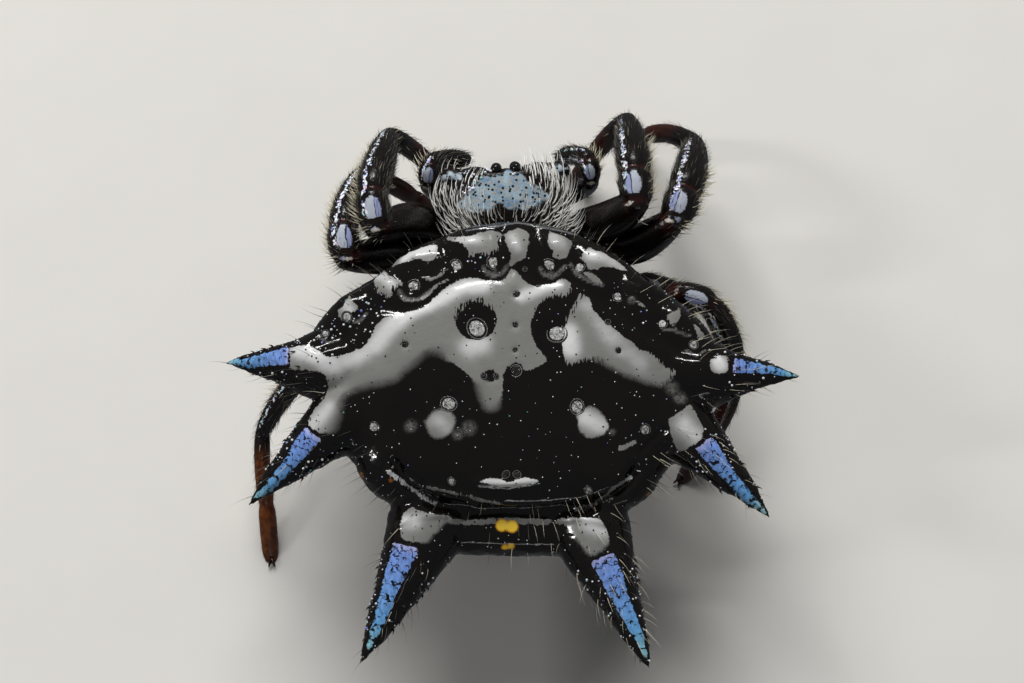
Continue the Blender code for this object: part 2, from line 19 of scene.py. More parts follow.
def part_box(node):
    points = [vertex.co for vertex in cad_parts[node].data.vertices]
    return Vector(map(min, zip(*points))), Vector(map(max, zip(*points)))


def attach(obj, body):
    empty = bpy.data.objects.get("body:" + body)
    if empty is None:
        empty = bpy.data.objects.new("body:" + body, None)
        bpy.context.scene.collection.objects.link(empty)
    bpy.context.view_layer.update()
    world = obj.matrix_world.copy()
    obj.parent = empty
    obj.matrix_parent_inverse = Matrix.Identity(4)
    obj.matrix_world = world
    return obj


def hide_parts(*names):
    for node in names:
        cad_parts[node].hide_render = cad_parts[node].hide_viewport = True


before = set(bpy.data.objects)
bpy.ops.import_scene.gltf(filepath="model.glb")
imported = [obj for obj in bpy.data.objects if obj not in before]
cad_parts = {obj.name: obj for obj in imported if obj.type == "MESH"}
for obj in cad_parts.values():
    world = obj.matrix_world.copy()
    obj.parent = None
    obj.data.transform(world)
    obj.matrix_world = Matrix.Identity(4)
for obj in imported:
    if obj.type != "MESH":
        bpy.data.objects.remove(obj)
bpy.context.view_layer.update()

# %% [markdown]
# ## Working in millimetres
#
# A remesh or a bristle is easier to set in millimetres than in millionths of a metre, so each
# piece is modelled in millimetres, about the middle of the abdomen, and settled into the frame
# at the end. `settle` does that in the mesh itself, so that the object stays at the origin.

# %% Units, and how a piece joins the frame
MM = 0.001
MIDDLE_OF_LENGTH_Y = 0.915
TO_FRAME = Matrix.Scale(MM, 4) @ Matrix.Translation((0.0, -MIDDLE_OF_LENGTH_Y, 0.0))


def settle(obj, slot, *nodes):
    """Moves a piece from millimetres into the frame and hides the frame nodes that it stands for."""
    obj.data.transform(TO_FRAME)
    obj.data.update()
    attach(obj, "root")
    if nodes:
        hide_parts(*nodes)
    print(f"{obj.name}: {len(obj.data.polygons)} faces")
    return obj


def shown(name, data):
    """A new object in the scene."""
    obj = bpy.data.objects.new(name, data)
    bpy.context.scene.collection.objects.link(obj)
    return obj


def object_from(bm, name):
    """A smooth-shaded object from a bmesh, which is freed."""
    bm.normal_update()
    mesh = bpy.data.meshes.new(name)
    bm.to_mesh(mesh)
    bm.free()
    mesh.shade_smooth()
    return shown(name, mesh)


def node_box(node):
    """Middle and half size of a frame node, in millimetres about the abdomen."""
    low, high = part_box(node)
    middle = (low + high) / 2 / MM + Vector((0.0, MIDDLE_OF_LENGTH_Y, 0.0))
    return middle, (high - low) / 2 / MM


# %% [markdown]
# ## The view
#
# The photograph looks down on the back from behind the tail, 70 degrees above the floor, with
# so long a lens that it is close to a parallel view. The same few numbers serve two ends: they
# set the camera, and they turn a place seen in the picture into a ray onto the animal's back.

# %% Camera and rays
IMAGE_WIDTH = 1024
IMAGE_MIDDLE = (512.0, 341.5)
PIXELS_PER_MM = 40.0
VIEW_ELEVATION = math.radians(70)
VIEW_ROLL = math.radians(1.3)
ANCHOR_PIXEL = (512.0, 385.0)
ANCHOR_HEIGHT = 5.6
CAMERA_DISTANCE = 240.0
SENSOR_WIDTH = 36.0
RAY_HEIGHT = 12.0
TO_CAMERA = Vector((0.0, -math.cos(VIEW_ELEVATION), math.sin(VIEW_ELEVATION)))


def at_height(u, v, z):
    """The point, in millimetres, that shows at a place in the picture and is z above the floor."""
    du, dv = u - ANCHOR_PIXEL[0], v - ANCHOR_PIXEL[1]
    right = (math.cos(VIEW_ROLL) * du + math.sin(VIEW_ROLL) * dv) / PIXELS_PER_MM
    up = (math.sin(VIEW_ROLL) * du - math.cos(VIEW_ROLL) * dv) / PIXELS_PER_MM
    rise = z - ANCHOR_HEIGHT
    return Vector((right, (up - rise * math.cos(VIEW_ELEVATION)) / math.sin(VIEW_ELEVATION), z))


def add_camera():
    """The photograph's view, with no depth of field and no shift."""
    data = bpy.data.cameras.new("camera")
    data.sensor_width = SENSOR_WIDTH
    data.lens = SENSOR_WIDTH * CAMERA_DISTANCE * PIXELS_PER_MM / IMAGE_WIDTH
    data.clip_start = 0.001
    data.clip_end = 20.0
    camera = shown("camera", data)
    target = at_height(*IMAGE_MIDDLE, ANCHOR_HEIGHT) - Vector((0, MIDDLE_OF_LENGTH_Y, 0))
    tilt = Matrix.Rotation(math.pi / 2 - VIEW_ELEVATION, 4, "X") @ Matrix.Rotation(VIEW_ROLL, 4, "Z")
    camera.matrix_world = Matrix.Translation((target + TO_CAMERA * CAMERA_DISTANCE) * MM) @ tilt
    bpy.context.scene.camera = camera


add_camera()
print("picture width, mm:", IMAGE_WIDTH / PIXELS_PER_MM)

# %% [markdown]
# ## One helper for every node tree
#
# Materials and Geometry Nodes are both node trees. One function adds a node with its settings,
# its plain values and its links, which keeps every recipe below close to a list of what it does.

# %% Nodes and colours


def linear(hex_colour):
    """An sRGB hex colour as the linear RGBA that shaders take."""
    channels = [int(hex_colour[i : i + 2], 16) / 255 for i in (1, 3, 5)]
    return (*(c / 12.92 if c <= 0.04045 else ((c + 0.055) / 1.055) ** 2.4 for c in channels), 1.0)


def add(tree, kind, inputs=None, **settings):
    """Adds a node; inputs maps a socket's name or number to a value or to another socket."""
    node = tree.nodes.new(kind)
    for key, value in settings.items():
        setattr(node, key, value)
    for key, value in (inputs or {}).items():
        if isinstance(value, bpy.types.NodeSocket):
            tree.links.new(value, node.inputs[key])
        elif isinstance(value, str) and value.startswith("#"):
            node.inputs[key].default_value = linear(value)
        else:
            node.inputs[key].default_value = value
    return node


# Plain words for the nodes used most: the type, the sockets for its values, its output, settings
KINDS = {
    "mark": ("ShaderNodeAttribute", (), "Fac", {}),
    "step": ("ShaderNodeMapRange", range(5), 0, {"interpolation_type": "SMOOTHSTEP"}),
    "blend": ("ShaderNodeMix", (0, 6, 7), 2, {"data_type": "RGBA"}),
    "noise": ("ShaderNodeTexNoise", ("Vector", "Scale", "Detail", "Roughness"), "Fac", {}),
    "cells": ("ShaderNodeTexVoronoi", ("Vector", "Scale"), "Distance", {}),
    "cell colours": ("ShaderNodeTexVoronoi", ("Vector", "Scale"), "Color", {}),
}
SUMS = {
    "plus": "ADD", "minus": "SUBTRACT", "times": "MULTIPLY", "over": "DIVIDE", "unsigned": "ABSOLUTE",
    "fraction": "FRACT", "larger": "MAXIMUM", "above": "GREATER_THAN",
}
for word, operation in SUMS.items():
    KINDS[word] = ("ShaderNodeMath", (0, 1), 0, {"operation": operation})


def put(tree, kind, *values, **settings):
    """Adds a node and gives its output: a row of KINDS with its values, or a type and its inputs."""
    kind, sockets, output, fixed = KINDS.get(kind, (kind, (), 0, {}))
    inputs = dict(zip(sockets, values)) if sockets else dict(*values)
    return add(tree, kind, inputs, **{**fixed, **settings}).outputs[output]


def new_material(name, **shader_values):
    """A material with its Principled shader, whose plain values are set on its own sockets."""
    material = bpy.data.materials.new(name)
    material.use_nodes = True
    tree = material.node_tree
    shader = tree.nodes["Principled BSDF"]
    for key, value in shader_values.items():
        shader.inputs[key.replace("_", " ")].default_value = value
    return material, tree, shader


def millimetres(tree):
    """Object coordinates in millimetres, so that pattern scales are one over a real size."""
    place = add(tree, "ShaderNodeTexCoord").outputs["Object"]
    return put(tree, "ShaderNodeMapping", {"Vector": place, "Scale": (1 / MM,) * 3})


def waver(tree, place, size, amount, detail=2.0, roughness=0.5):
    """Noise about zero, for shifting an edge by up to half the amount."""
    noise = put(tree, "noise", place, 1 / size, detail, roughness)
    return put(tree, "times", put(tree, "minus", noise, 0.5), amount)


def streaks_of(tree, place, scale, detail):
    """Noise with lumps one over scale long in x, y and z, drawn out where the scale is low."""
    way = put(tree, "ShaderNodeMapping", {"Vector": place, "Scale": scale})
    return put(tree, "ShaderNodeTexNoise", {"Vector": way, "Scale": 1.0, "Detail": detail})


def edge_of(tree, mark, saw, low, high, start=0.0, end=1.0):
    """A step at the border of a mark that the skin keeps as a distance, roughened by saw."""
    border = put(tree, "plus", put(tree, "mark", attribute_name=mark), saw)
    return put(tree, "step", border, low, high, start, end)


def paint(tree, shader, colour):
    tree.links.new(colour, shader.inputs["Base Color"])


def two_tone(name, low, high, size, **shader_values):
    """A plain material whose colour drifts between two tones, over size millimetres."""
    material, tree, shader = new_material(name, **shader_values)
    tone = put(tree, "noise", millimetres(tree), 1 / size)
    paint(tree, shader, put(tree, "blend", tone, low, high))
    return material


def hues(tree, value, *stops):
    """A colour that runs through stops, each a place and a hex colour, as the value rises."""
    ramp = add(tree, "ShaderNodeValToRGB", {0: value})
    elements = ramp.color_ramp.elements
    for element, (place, colour) in zip(elements, (stops[0], stops[-1])):
        element.position, element.color = place, linear(colour)
    for place, colour in stops[1:-1]:
        elements.new(place).color = linear(colour)
    return ramp.outputs[0]


def bumped(tree, shader, height, depth):
    """Feeds a 0 to 1 height into the shader as a bump, depth millimetres deep."""
    bump = add(tree, "ShaderNodeBump", {"Height": height, "Distance": depth * MM, "Strength": 1.0})
    tree.links.new(bump.outputs[0], shader.inputs["Normal"])


# %% [markdown]
# ## Floor and light
#
# The floor is a plain pale sheet. The soft light that shapes the animal comes from one wide panel.
# Neither is mirrored by gloss, as behind a flag in a studio, so that the black cuticle stays
# black. Three small panels are what it does mirror: as thin streaks on its lobes and folds, and as
# one glint on every bead. The picture is shown plainly, without a film curve.

# %% Floor and lamps


def add_floor():
    bm = bmesh.new()
    bmesh.ops.create_grid(bm, x_segments=1, y_segments=1, size=0.6)
    floor = object_from(bm, "floor")
    floor.data.materials.append(two_tone("matt_card", "#DEDBD5", "#E4E1DB", 3.0, Roughness=0.85))
    floor.visible_glossy = False


def add_panel(name, direction, distance, size, power, mirrored_by_gloss):
    """A soft rectangular lamp that looks at the animal from a direction, sizes in metres."""
    data = bpy.data.lights.new(name, "AREA")
    data.shape = "RECTANGLE"
    data.size, data.size_y = size
    data.energy = power
    lamp = shown(name, data)
    lamp.visible_glossy = mirrored_by_gloss
    facing = Vector(direction).normalized()
    turn = facing.to_track_quat("Z", "Y").to_matrix().to_4x4()
    lamp.matrix_world = Matrix.Translation(facing * distance + Vector((0, 0, 0.004))) @ turn


def add_world(strength):
    world = bpy.data.worlds.new("studio")
    world.use_nodes = True
    background = world.node_tree.nodes["Background"]
    background.inputs[0].default_value = linear("#E6E9EE")
    background.inputs[1].default_value = strength
    bpy.context.scene.world = world


add_floor()
add_panel("soft_panel", (-0.15, 0.7, 0.7), 0.3, (0.2, 0.2), 1.0, False)
add_panel("front_panel", (-0.1, 0.86, 0.52), 0.2, (0.055, 0.012), 0.06, True)
add_panel("tail_panel", (0.12, -0.9, 0.36), 0.2, (0.1, 0.01), 0.012, True)
add_panel("side_panel", (-0.8, -0.05, 0.62), 0.2, (0.014, 0.04), 0.06, True)
add_world(0.1)
bpy.context.scene.view_settings.view_transform = "Standard"
print("lamps:", [lamp.name for lamp in bpy.data.lights])

# %% [markdown]
# ## The shell's shape
#
# The abdomen is a low rounded shell over a bowl, with a thick shelf behind and six flattened
# thorns. Each of those is simple alone. Setting them into one another and wrapping the lot in a
# fine voxel remesh gives a single closed skin, and a few rounds of relaxing turn the sharp line
# where a thorn leaves the shell into the flare that a real one has.

# %% Sizes of the abdomen
ABDOMEN_CENTRE_Y = 0.6
ABDOMEN_HALF_OUTLINE = [
    (0.0, 4.6), (1.2, 4.42), (2.28, 3.98), (3.34, 3.2), (4.22, 2.52), (4.92, 1.8),
    (5.1, 0.85), (4.88, -0.3), (4.45, -1.2), (3.9, -1.75), (3.62, -2.28), (3.0, -2.76),
    (1.6, -3.0), (0.0, -3.06),
]
RIM_HEIGHT = 4.5
RIM_SLOPE = 0.05
SHELL_RISE = 1.08
SHELL_ROUNDING = 3.0
BELLY_DEPTH = 3.05
BELLY_HEIGHT_POWER = 1.3
BELLY_FRONT_POWER = 1.4
BELLY_BACK_POWER = 1.6
BELLY_BACKWARD_SHIFT = 0.5
SPINE_FLATNESS = 0.82
FRONT_SPINE = [
    (3.6, 0.7, 4.62, 0.95), (4.8, 0.68, 4.78, 0.9), (5.4, 0.66, 4.86, 0.68),
    (6.0, 0.68, 4.9, 0.44), (6.6, 0.68, 4.92, 0.25), (7.22, 0.64, 4.94, 0.03),
]
MIDDLE_SPINE = [
    (3.3, 0.1, 4.55, 0.95), (4.25, -0.72, 4.66, 0.9), (4.95, -1.38, 4.74, 0.64),
    (5.5, -1.97, 4.78, 0.44), (6.02, -2.52, 4.82, 0.25), (6.51, -3.09, 4.86, 0.03),
]
REAR_SPINE = [
    (1.75, -2.3, 3.95, 1.05), (2.12, -3.45, 4.02, 0.98), (2.52, -4.45, 4.12, 0.72),
    (2.86, -5.25, 4.22, 0.52), (3.22, -6.12, 4.33, 0.32), (3.58, -6.98, 4.42, 0.03),
]
REAR_SHELF_CENTRE = (0.0, -2.92, 3.9)
REAR_SHELF_HALF_SIZE = (2.95, 0.97, 0.6)
REAR_SHELF_SQUARENESS = 2.6
SKIN_VOXEL = 0.055

# %% Curves, tubes and skins


def smooth_points(points, per_span):
    """Points on a Catmull-Rom curve through rows of numbers, per_span to each stretch."""
    rows = np.array(points, float)
    ends = np.vstack([2 * rows[0] - rows[1], rows, 2 * rows[-1] - rows[-2]])
    t = np.linspace(0, 1, per_span, endpoint=False)[:, None]
    made = []
    for i in range(len(rows) - 1):
        a, b, c, d = ends[i : i + 4]
        bend, twist = 2 * a - 5 * b + 4 * c - d, 3 * b - a - 3 * c + d
        made.append(0.5 * (2 * b + (c - a) * t + bend * t**2 + twist * t**3))
    return np.vstack([*made, rows[-1:]])


def mirrored(rows):
    return [(-row[0], *row[1:]) for row in rows]


def tube(rings, sides=20):
    """A closed tube as a bmesh, from rows of x, y, z and radius, with a frame carried along it."""
    bm = bmesh.new()
    rings = np.array(rings)
    directions = np.gradient(rings[:, :3], axis=0)
    across = Vector(directions[0]).orthogonal().normalized()
    loops = []
    for ring, direction in zip(rings, directions):
        along = Vector(direction).normalized()
        across = (across - along * across.dot(along)).normalized()
        other = along.cross(across)
        centre = Vector(ring[:3])
        loop = []
        for angle in (2 * math.pi * i / sides for i in range(sides)):
            spoke = across * math.cos(angle) + other * math.sin(angle)
            loop.append(bm.verts.new(centre + spoke * ring[3]))
        loops.append(loop)
    for lower, upper in zip(loops, loops[1:]):
        for i in range(sides):
            bm.faces.new((lower[i - 1], lower[i], upper[i], upper[i - 1]))
    bm.faces.new(loops[0][::-1])
    bm.faces.new(loops[-1])
    bmesh.ops.recalc_face_normals(bm, faces=bm.faces)
    return bm


def ball(segments, rings, shape):
    """A unit sphere as a bmesh, each vertex moved by shape(x, y, z)."""
    bm = bmesh.new()
    bmesh.ops.create_uvsphere(bm, u_segments=segments, v_segments=rings, radius=1.0)
    for vertex in bm.verts:
        vertex.co = shape(*vertex.co)
    bmesh.ops.recalc_face_normals(bm, faces=bm.faces)
    return bm


def signed_power(value, power):
    return math.copysign(abs(value) ** power, value)


def merged(pieces, name):
    """Several bmeshes as one object."""
    joined = bmesh.new()
    for piece in pieces:
        mesh = bpy.data.meshes.new("piece")
        piece.to_mesh(mesh)
        piece.free()
        joined.from_mesh(mesh)
        bpy.data.meshes.remove(mesh)
    return object_from(joined, name)


def fused(name, pieces, voxel):
    """One closed skin round overlapping closed pieces, by a voxel remesh."""
    obj = merged(pieces, name)
    remesh = obj.modifiers.new("remesh", "REMESH")
    remesh.mode = "VOXEL"
    remesh.voxel_size = voxel
    evaluated = obj.evaluated_get(bpy.context.evaluated_depsgraph_get())
    mesh = bpy.data.meshes.new_from_object(evaluated)
    obj.modifiers.clear()
    obj.data = mesh
    mesh.shade_smooth()
    return obj


def points_of(mesh):
    co = np.empty(len(mesh.vertices) * 3)
    mesh.vertices.foreach_get("co", co)
    return co.reshape(-1, 3)


def normals_of(obj):
    normals = np.empty(len(obj.data.vertices) * 3)
    obj.data.vertex_normals.foreach_get("vector", normals)
    return normals.reshape(-1, 3)


def move_points(mesh, points):
    mesh.vertices.foreach_set("co", points.reshape(-1))
    mesh.update()


def relax(mesh, rounds, weight=1.0):
    """Evens out a skin by moving each point towards its neighbours' middle."""
    edges = np.empty(len(mesh.edges) * 2, int)
    mesh.edges.foreach_get("vertices", edges)
    a, b = edges.reshape(-1, 2).T
    points = points_of(mesh)
    count = np.bincount(np.concatenate([a, b]), minlength=len(points))[:, None]
    weight = np.broadcast_to(weight, len(points))[:, None]
    for _ in range(rounds):
        total = np.zeros_like(points)
        for k in range(3):
            for here, there in ((a, b), (b, a)):
                total[:, k] += np.bincount(here, points[there, k], len(points))
        points = points + 0.5 * weight * (total / count - points)
    move_points(mesh, points)


def store(obj, name, values, kind="FLOAT"):
    """Keeps a number or a vector on each point of a skin, for its material or its bristles."""
    layer = obj.data.attributes.new(name, kind, "POINT")
    key = "vector" if kind == "FLOAT_VECTOR" else "value"
    layer.data.foreach_set(key, np.asarray(values, np.float32).reshape(-1))


def kept(obj, name):
    """A copy of a number that is stored on each point of a skin."""
    values = np.empty(len(obj.data.vertices), np.float32)
    obj.data.attributes[name].data.foreach_get("value", values)
    return values


def smoothstep(low, high, values):
    t = np.clip((values - low) / (high - low), 0, 1)
    return t * t * (3 - 2 * t)


def unit(vectors):
    return vectors / np.maximum(np.linalg.norm(vectors, axis=1), 1e-6)[:, None]


# %% The abdomen as one skin


def outline_table():
    """Angles and radii of the abdomen's outline about its middle, for interpolation."""
    half = ABDOMEN_HALF_OUTLINE
    left = [(-x, y) for x, y in half[-2:0:-1]]
    closed = half + left
    loop = smooth_points(closed[-2:] + closed + closed[:3], 12)
    angles = np.arctan2(loop[:, 1] - ABDOMEN_CENTRE_Y, loop[:, 0])
    radii = np.hypot(loop[:, 0], loop[:, 1] - ABDOMEN_CENTRE_Y)
    order = np.argsort(angles)
    return angles[order], radii[order]


OUTLINE_ANGLES, OUTLINE_RADII = outline_table()


def outline_radius(angle):
    return np.interp(angle, OUTLINE_ANGLES, OUTLINE_RADII, period=2 * math.pi)


def abdomen_shape(x, y, z):
    """Moves a point of a unit sphere to the abdomen: a low shell above, a bowl below."""
    angle = math.atan2(y, x)
    out = math.hypot(x, y)
    if z >= 0:
        share = out ** (2 / SHELL_ROUNDING)
        height = SHELL_RISE * z ** (2 / SHELL_ROUNDING)
        shift = 0.0
    else:
        frontness = max(0.0, math.sin(angle)) ** 2
        power = BELLY_BACK_POWER + (BELLY_FRONT_POWER - BELLY_BACK_POWER) * frontness
        share = out ** (2 / power)
        depth = abs(z) ** (2 / BELLY_HEIGHT_POWER)
        height = -BELLY_DEPTH * depth
        shift = -BELLY_BACKWARD_SHIFT * depth
    reach = share * float(outline_radius(angle))
    px = reach * math.cos(angle)
    py = ABDOMEN_CENTRE_Y + shift + reach * math.sin(angle)
    return Vector((px, py, RIM_HEIGHT + RIM_SLOPE * py + height))


def shelf_shape(x, y, z):
    power = 2 / REAR_SHELF_SQUARENESS
    sizes = zip(REAR_SHELF_CENTRE, REAR_SHELF_HALF_SIZE, (x, y, z))
    return Vector(centre + half * signed_power(value, power) for centre, half, value in sizes)


def thorn(rows):
    """A flattened thorn as a bmesh, lower than it is wide."""
    axis = smooth_points(rows, 10)
    bm = tube(axis, 32)
    for vertex in bm.verts:
        nearest = np.argmin(np.linalg.norm(axis[:, :2] - np.array(vertex.co[:2]), axis=1))
        level = axis[nearest, 2]
        vertex.co.z = level + (vertex.co.z - level) * SPINE_FLATNESS
    return bm


THORNS = [turn(rows) for rows in (FRONT_SPINE, MIDDLE_SPINE, REAR_SPINE) for turn in (mirrored, list)]
abdomen = fused(
    "abdomen_skin",
    [ball(160, 96, abdomen_shape), ball(64, 40, shelf_shape)] + [thorn(rows) for rows in THORNS],
    SKIN_VOXEL,
)
print("abdomen skin:", len(abdomen.data.polygons), "faces")

# %% [markdown]
# ## Where things are seen
#
# The marks on the back are where pigment lies under the cuticle, except that the pale ones are
# partly a painted reflection of a soft light and the thin pale lines are painted highlights. Their
# edges are taken as a few places in the picture. Each place is sent as a ray onto the skin, so that
# the mark ends up on the shell itself and holds from every side.

# %% Rays onto a skin, and distances on it


class Surface:
    """A skin that rays from the picture can be cast onto."""

    def __init__(self, obj):
        bm = bmesh.new()
        bm.from_mesh(obj.data)
        self.tree = BVHTree.FromBMesh(bm)
        bm.free()

    def seen(self, u, v):
        """The point of the skin at a place in the picture, or the nearest one beside it."""
        start = at_height(u, v, RAY_HEIGHT)
        hit = self.tree.ray_cast(start, -TO_CAMERA)[0]
        return hit if hit else self.tree.find_nearest(at_height(u, v, RIM_HEIGHT))[0]

    def seen_line(self, places):
        return np.array([self.seen(u, v)[:] for u, v in places])

    def away(self, points, u, v):
        """Distance of each point from a place in the picture."""
        return np.linalg.norm(points - np.array(self.seen(u, v)), axis=1)

    def in_spots(self, points, spots, core):
        """1 within the core share of a spot's radius, fading to 0 at the radius."""
        shade = np.zeros(len(points))
        for u, v, radius in spots:
            shade = np.maximum(shade, 1 - smoothstep(core, 1.0, self.away(points, u, v) / radius))
        return shade


def line_distance(points, line, axes=(0, 1)):
    """Distance of each point from a broken line, in the plane of the given axes."""
    p = points[:, list(axes)]
    q = line[:, list(axes)]
    best = np.full(len(p), 1e9)
    for a, b in zip(q, q[1:]):
        span = b - a
        t = np.clip(((p - a) @ span) / max(span @ span, 1e-12), 0, 1)
        best = np.minimum(best, np.linalg.norm(p - a - t[:, None] * span, axis=1))
    return best


def area_distance(points, outline):
    """Signed distance from a closed outline seen from above, positive inside."""
    x, y = points[:, 0], points[:, 1]
    closed = np.vstack([outline, outline[:1]])
    inside = np.zeros(len(points), bool)
    for (ax, ay), (bx, by) in zip(closed[:, :2], closed[1:, :2]):
        crosses = (ay > y) != (by > y)
        slope = np.where(crosses, (bx - ax) * (y - ay) / (by - ay + 1e-12) + ax, 0)
        inside ^= crosses & (x < slope)
    distance = line_distance(points, closed)
    return np.where(inside, distance, -distance)


RELAXING_ROUNDS = 6
relax(abdomen.data, RELAXING_ROUNDS)
back = Surface(abdomen)
print("shell over the middle of the view:", [round(v, 2) for v in back.seen(*IMAGE_MIDDLE)])

# %% [markdown]
# ## Lobes, furrows and folds
#
# A jewel spider's back isn't a smooth dome. The front edge is a row of low lobes with a muscle
# mark between each two, a furrow divides the lobes from the main disc, and behind the disc the
# hide folds down to the shelf that carries the last thorns. These are moved into the skin along
# its normals: a soft bump for each lobe and a soft trench along each line.

# %% Relief of the back
LOBES = [
    (412, 257, 0.12, 0.42), (470, 243, 0.1, 0.42), (516, 247, 0.09, 0.34), (560, 244, 0.09, 0.32),
    (602, 258, 0.12, 0.42), (386, 284, 0.08, 0.3), (346, 303, 0.14, 0.4), (322, 330, 0.08, 0.3),
    (674, 316, 0.12, 0.38), (645, 288, 0.1, 0.36), (701, 334, 0.12, 0.32),
    (430, 432, 0.05, 0.5), (590, 430, 0.05, 0.5),
]
HOLLOWS = [
    (477, 325, 0.1, 0.4), (556, 330, 0.1, 0.38), (449, 404, 0.05, 0.28), (577, 407, 0.05, 0.28),
    (516, 371, 0.05, 0.16), (490, 376, 0.04, 0.14), (516, 294, 0.06, 0.12), (515, 325, 0.04, 0.1),
    (515, 350, 0.04, 0.08), (405, 345, 0.05, 0.09), (619, 351, 0.05, 0.09), (506, 474, 0.03, 0.1),
    (516, 474, 0.03, 0.1), (374, 427, 0.05, 0.14), (645, 430, 0.06, 0.16), (411, 288, 0.06, 0.24),
    (455, 266, 0.05, 0.22), (494, 264, 0.05, 0.24), (550, 266, 0.05, 0.24), (578, 268, 0.05, 0.2),
    (618, 297, 0.06, 0.22), (662, 323, 0.06, 0.22),
]
FURROWS = [
    ([(318, 345), (352, 328), (378, 306), (402, 308), (428, 299), (450, 283), (476, 276), (500, 276),
      (514, 266), (536, 280), (566, 278), (588, 286), (612, 308), (650, 334), (690, 352), (712, 354)],
     0.08, 0.22),
    ([(436, 238), (446, 252), (455, 266)], 0.05, 0.13),
    ([(502, 230), (500, 246), (495, 260)], 0.05, 0.12),
    ([(536, 232), (543, 248), (550, 264)], 0.05, 0.14),
    ([(572, 236), (577, 252), (578, 266)], 0.05, 0.13),
    ([(384, 266), (398, 278), (411, 286)], 0.05, 0.13),
    ([(622, 266), (620, 280), (618, 292)], 0.05, 0.13),
    ([(662, 300), (662, 312), (662, 322)], 0.05, 0.13),
    ([(394, 462), (408, 487), (440, 505), (475, 511), (512, 512), (548, 511), (585, 508), (620, 492),
      (636, 470)], 0.2, 0.15),
    ([(392, 474), (410, 492), (440, 499), (486, 505)], 0.04, 0.06),
    ([(400, 464), (424, 484), (452, 496), (490, 499)], 0.04, 0.06),
    ([(632, 482), (612, 500), (584, 506), (560, 508)], 0.04, 0.06),
    ([(640, 452), (652, 440), (664, 430)], 0.05, 0.08),
]
RIM_LINE = [(442, 234), (467, 230), (495, 226), (519, 222), (539, 226), (560, 230), (577, 234)]
LOBE_FOLD = [(401, 298), (408, 301), (419, 300), (429, 294), (436, 285), (447, 280)]
RIDGES = [
    (RIM_LINE, 0.04, 0.05),
    (LOBE_FOLD, 0.04, 0.06),
    ([(419, 280), (431, 280), (440, 275), (447, 270)], 0.04, 0.06),
    ([(390, 470), (406, 483), (426, 498)], 0.06, 0.07),
    ([(428, 486), (456, 493), (500, 502)], 0.06, 0.07),
    ([(478, 482), (508, 484), (540, 480)], 0.05, 0.1),
    ([(575, 510), (600, 500), (628, 480)], 0.06, 0.07),
    ([(400, 524), (440, 514), (480, 520), (512, 517), (545, 520), (578, 518), (606, 524)], 0.07, 0.08),
]
WRINKLE_SIZE = 0.45
WRINKLE_DEPTH = 0.035


def relief(obj, surface):
    """Lobes, hollows, furrows and ridges of the back, moved along the skin's normals."""
    points = points_of(obj.data)
    normals = normals_of(obj)
    moved = np.zeros(len(points))
    for sign, spots in ((1, LOBES), (-1, HOLLOWS)):
        for u, v, height, radius in spots:
            away = surface.away(points, u, v)
            moved += sign * height * np.exp(-((away / radius) ** 2))
    for sign, lines in ((-1, FURROWS), (1, RIDGES)):
        for places, height, width in lines:
            away = line_distance(points, surface.seen_line(places), (0, 1, 2))
            moved += sign * height * np.exp(-((away / width) ** 2))
    side = 1 - smoothstep(0.25, 0.7, normals[:, 2])
    folds = np.array([noise.fractal(Vector(p) / WRINKLE_SIZE, 0.7, 2.2, 3) for p in points])
    moved += side * WRINKLE_DEPTH * folds
    move_points(obj.data, points + normals * moved[:, None])


relief(abdomen, back)
back = Surface(abdomen)
print("relief lines:", len(FURROWS) + len(RIDGES))
